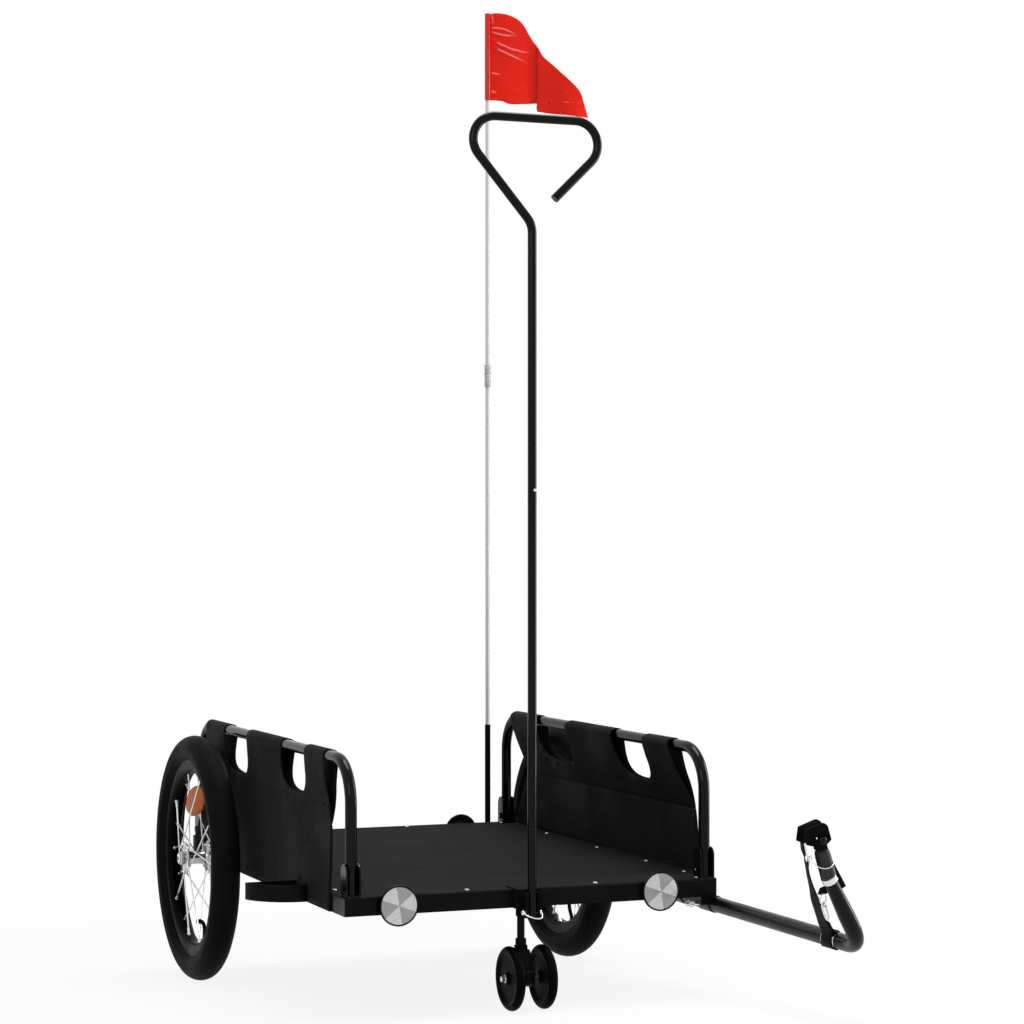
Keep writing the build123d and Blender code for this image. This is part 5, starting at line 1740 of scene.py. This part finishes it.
def knuckle_boss():
    """Black domed cap with a bright zinc dot off its axis on the near cheek, which is a painted highlight,
    and a nut on the far one.
    """
    shape = bmesh.new()
    cheek = 0.0105
    near = aim(at_hitch(0, 0, cheek), HITCH_ACROSS)
    add(shape, lathe([(0, 0), (0.0062, 0), (0.0062, 0.001), (0.0058, 0.003),
                      (0.005, 0.0044), (0.004, 0.005), (0, 0.0052)], 36), near, 1)
    # Painted highlight: a small bright zinc dot set off the bolt's axis, where a highlight sits on the dark
    # cap.
    glint_dot = aim(at_hitch(0.0054, 0.0063, cheek), HITCH_ACROSS)
    add(shape, lathe([(0, 0), (0.0014, 0), (0.0014, 0.0006), (0.0009, 0.0012), (0, 0.0014)], 20), glint_dot)
    add(shape, hex_nut(0.0068, 0.004, 0.0044), aim(at_hitch(0, 0, -cheek - 0.0006), -HITCH_ACROSS))
    return shape


def hitch_cover():
    """Cover strip bent over the cheeks' top and outer side, between the two."""
    shape = bmesh.new()
    place = axes(HITCH_BOLT, HITCH_UP, HITCH_ASIDE, HITCH_ACROSS)
    half = 0.0076
    add(shape, block((0.02, -0.0055, -half), (0.0222, 0.0196, half), 0.0008), place)
    slope = Matrix.Translation((0.022, 0.0195, 0)) @ Matrix.Rotation(math.atan2(0.0075, -0.017), 4, "Z")
    add(shape, block((-0.0004, -0.0002, -half), (0.0182, 0.002, half), 0.0008), place @ slope)
    return shape


def hitch_pin():
    """Bent pin that hangs at the bracket's lower corner, with the rings tied to its end."""
    shape = bent_wire([at_hitch(0.0086, 0.027, 0.0165), at_hitch(-0.0005, 0.0276, 0.0165),
                       at_hitch(-0.0086, 0.0282, 0.0162), at_hitch(-0.0132, 0.0285, 0.015)], 0.0014)
    for up, aside, radius, lean in ((-0.0135, 0.0278, 0.0042, 0.3), (-0.017, 0.0238, 0.004, -0.5),
                                    (-0.0155, 0.0258, 0.0032, 1.1)):
        ring = []
        turn = Vector((math.cos(lean), math.sin(lean)))
        for k in range(13):
            angle = k * math.pi / 6
            offset = Vector((math.cos(angle), math.sin(angle) * 0.75))
            ring.append(at_hitch(up + radius * (offset.x * turn.x - offset.y * turn.y),
                                 aside + radius * (offset.x * turn.y + offset.y * turn.x),
                                 0.0142 + 0.0022 * math.sin(angle + lean)))
        add(shape, bent_wire(ring, 0.0012, 6))
    return shape


LANYARD_R = 0.00075


def lanyard_points():
    """Route of the pin's steel lanyard: from its rings, round the rubber's near side, to its far flank."""
    return [at_hitch(*place) for place in (
        (-0.0181, 0.0243, 0.0135), (-0.0245, 0.0205, 0.0125), (-0.0308, 0.0166, 0.009),
        (-0.0365, 0.0119, 0.008), (-0.0393, 0.0064, 0.0114), (-0.0403, -0.0007, 0.0127),
        (-0.0388, -0.0069, 0.0106), (-0.0388, -0.0112, 0.0045), (-0.0425, -0.0119, -0.002))]


def snap_hook():
    """Wire ring through the strap's loop and the sprung hook that hangs from it."""
    loop = Vector((0.2315, -0.4405, 0.2545))
    ring = []
    for k in range(15):
        across, up = math.sin(k * math.pi / 7), math.cos(k * math.pi / 7)
        ring.append(loop + Vector((0.0052 * across, 0.0012 * across, 0.0075 * up - 0.0065)))
    shape = bent_wire(ring, 0.0011, 6)
    eye = loop + Vector((0.0012, 0, -0.0135))
    hang = [eye + 0.86 * Vector((x, 0, z)) for x, z in (
        (0, 0.003), (-0.0035, 0.0005), (-0.0032, -0.005), (-0.001, -0.012), (0.002, -0.0195),
        (0.0045, -0.0245), (0.0075, -0.0255), (0.0085, -0.022), (0.0068, -0.015), (0.0042, -0.007),
        (0.0034, 0.0005), (0, 0.003))]
    add(shape, bent_wire(hang, 0.00115, 6))
    for start, end, radius, segments, ease in (
            ((-0.0034, 0.0002, -0.0035), (0.0038, 0.0002, -0.0035), 0.0016, 12, 0.0003),
            ((0.003, 0.0004, -0.004), (0.0062, 0.0004, -0.0175), 0.0011, 10, 0.0002)):
        add(shape, rod(eye + Vector(start), eye + Vector(end), radius, segments, ease=ease))
    return shape


def sleeve_pins():
    """Ring pulls and short wires of the pins that lock the arm in its front sleeve."""
    shape = bmesh.new()
    for y in (0.02, 0.032):
        head = Vector((ARM_X - 0.0285, y, ARM_Z))
        add(shape, rod(head, head + Vector((0.009, 0, 0)), 0.0014, 12, ease=0.0003))
        ring = [head + Vector((-0.001 - 0.0042 * (1 - math.cos(a)), 0, 0.0042 * math.sin(a)))
                for a in (step * math.pi / 6 for step in range(13))]
        add(shape, bent_wire(ring, 0.0008, 6))
    return shape


class TRAILER_OT_hitch(bpy.types.Operator):
    """Adds the hitch's rubber, bolt, pin and lanyard, the webbing straps and the snap hook"""

    bl_idname = "trailer.hitch"
    bl_label = "Tow arm and hitch trim"

    def execute(self, context):
        piece(ribbed_rubber(), "ribbed_rubber", "chassis", [finish["rubber"]],
              replaces=["hitch_rubber"])
        piece(coupler_band(), "coupler_band", "chassis", [finish["zinc"]])
        piece(strap_sleeve(), "strap_sleeve", "chassis", [finish["zinc"]])
        piece(knuckle_boss(), "knuckle_bolt", "chassis", [finish["zinc"], finish["paint"]])
        piece(hitch_cover(), "hitch_cover", "hitch", [finish["cover"]])
        piece(hitch_pin(), "hitch_pin", "hitch", [finish["zinc"]])
        strap, length = strap_piece(tow_strap_stations(), STRAP_WIDTH, WEBBING, "tow_webbing", None,
                                    ["tow_strap"])
        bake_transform(strap, "chassis", "hitch", tuple(LEVEL @ STRAP_FOOT), tuple(LEVEL @ STRAP_HEAD))
        hook, length = strap_piece(hook_strap_stations(), HOOK_WIDTH, WEBBING, "hook_webbing", "chassis",
                                   ["hook_strap"])
        loop, length = strap_piece(hook_loop_stations(), LOOP_WIDTH, 0.0014, "hook_loop", "chassis", [])
        ring = piece(snap_hook(), "snap_hook", "chassis", [finish["zinc"]])
        route_points = lanyard_points()
        wire = piece(bent_wire(route_points, LANYARD_R, 10), "pin_lanyard", None,
                     [finish["zinc"]])
        path = [tuple(LEVEL @ at) for at in route_points]
        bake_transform(wire, "hitch", "chassis", path[0], path[4])
        piece(sleeve_pins(), "sleeve_pins", "chassis", [finish["zinc"]])
        return {"FINISHED"}


OPERATORS = (TRAILER_OT_stage, TRAILER_OT_finishes, TRAILER_OT_wheels, TRAILER_OT_panels, TRAILER_OT_fittings,
             TRAILER_OT_caster, TRAILER_OT_flag, TRAILER_OT_hitch)


class TRAILER_PT_dressing(bpy.types.Panel):
    """Sidebar panel with the trailer's settings and the buttons of its operators"""

    bl_label = "Trailer"
    bl_idname = "TRAILER_PT_dressing"
    bl_space_type = "VIEW_3D"
    bl_region_type = "UI"
    bl_category = "Trailer"

    def draw(self, context):
        layout = self.layout
        for group in settings():
            for name in group.__annotations__:
                layout.prop(group, name)
        for operator in OPERATORS:
            layout.operator(operator.bl_idname)


GROUPS = {
    "trailer_paint": TrailerPaintSettings,
    "trailer_wheels": TrailerWheelSettings,
    "trailer_fabric": TrailerFabricSettings,
}


def register():
    """Registers the settings, the operators and the panel."""
    for cls in (*GROUPS.values(), *OPERATORS, TRAILER_PT_dressing):
        bpy.utils.register_class(cls)
    for name, cls in GROUPS.items():
        setattr(bpy.types.Scene, name, PointerProperty(type=cls))


def unregister():
    """Removes them in the opposite order."""
    for name in GROUPS:
        delattr(bpy.types.Scene, name)
    for cls in (TRAILER_PT_dressing, *reversed(OPERATORS), *GROUPS.values()):
        bpy.utils.unregister_class(cls)


def main():
    """Registers the add-on and dresses the trailer piece by piece."""
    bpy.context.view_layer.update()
    register()
    for operator in OPERATORS:
        family, name = operator.bl_idname.split(".")
        getattr(getattr(bpy.ops, family), name)()


if __name__ == "__main__":
    main()
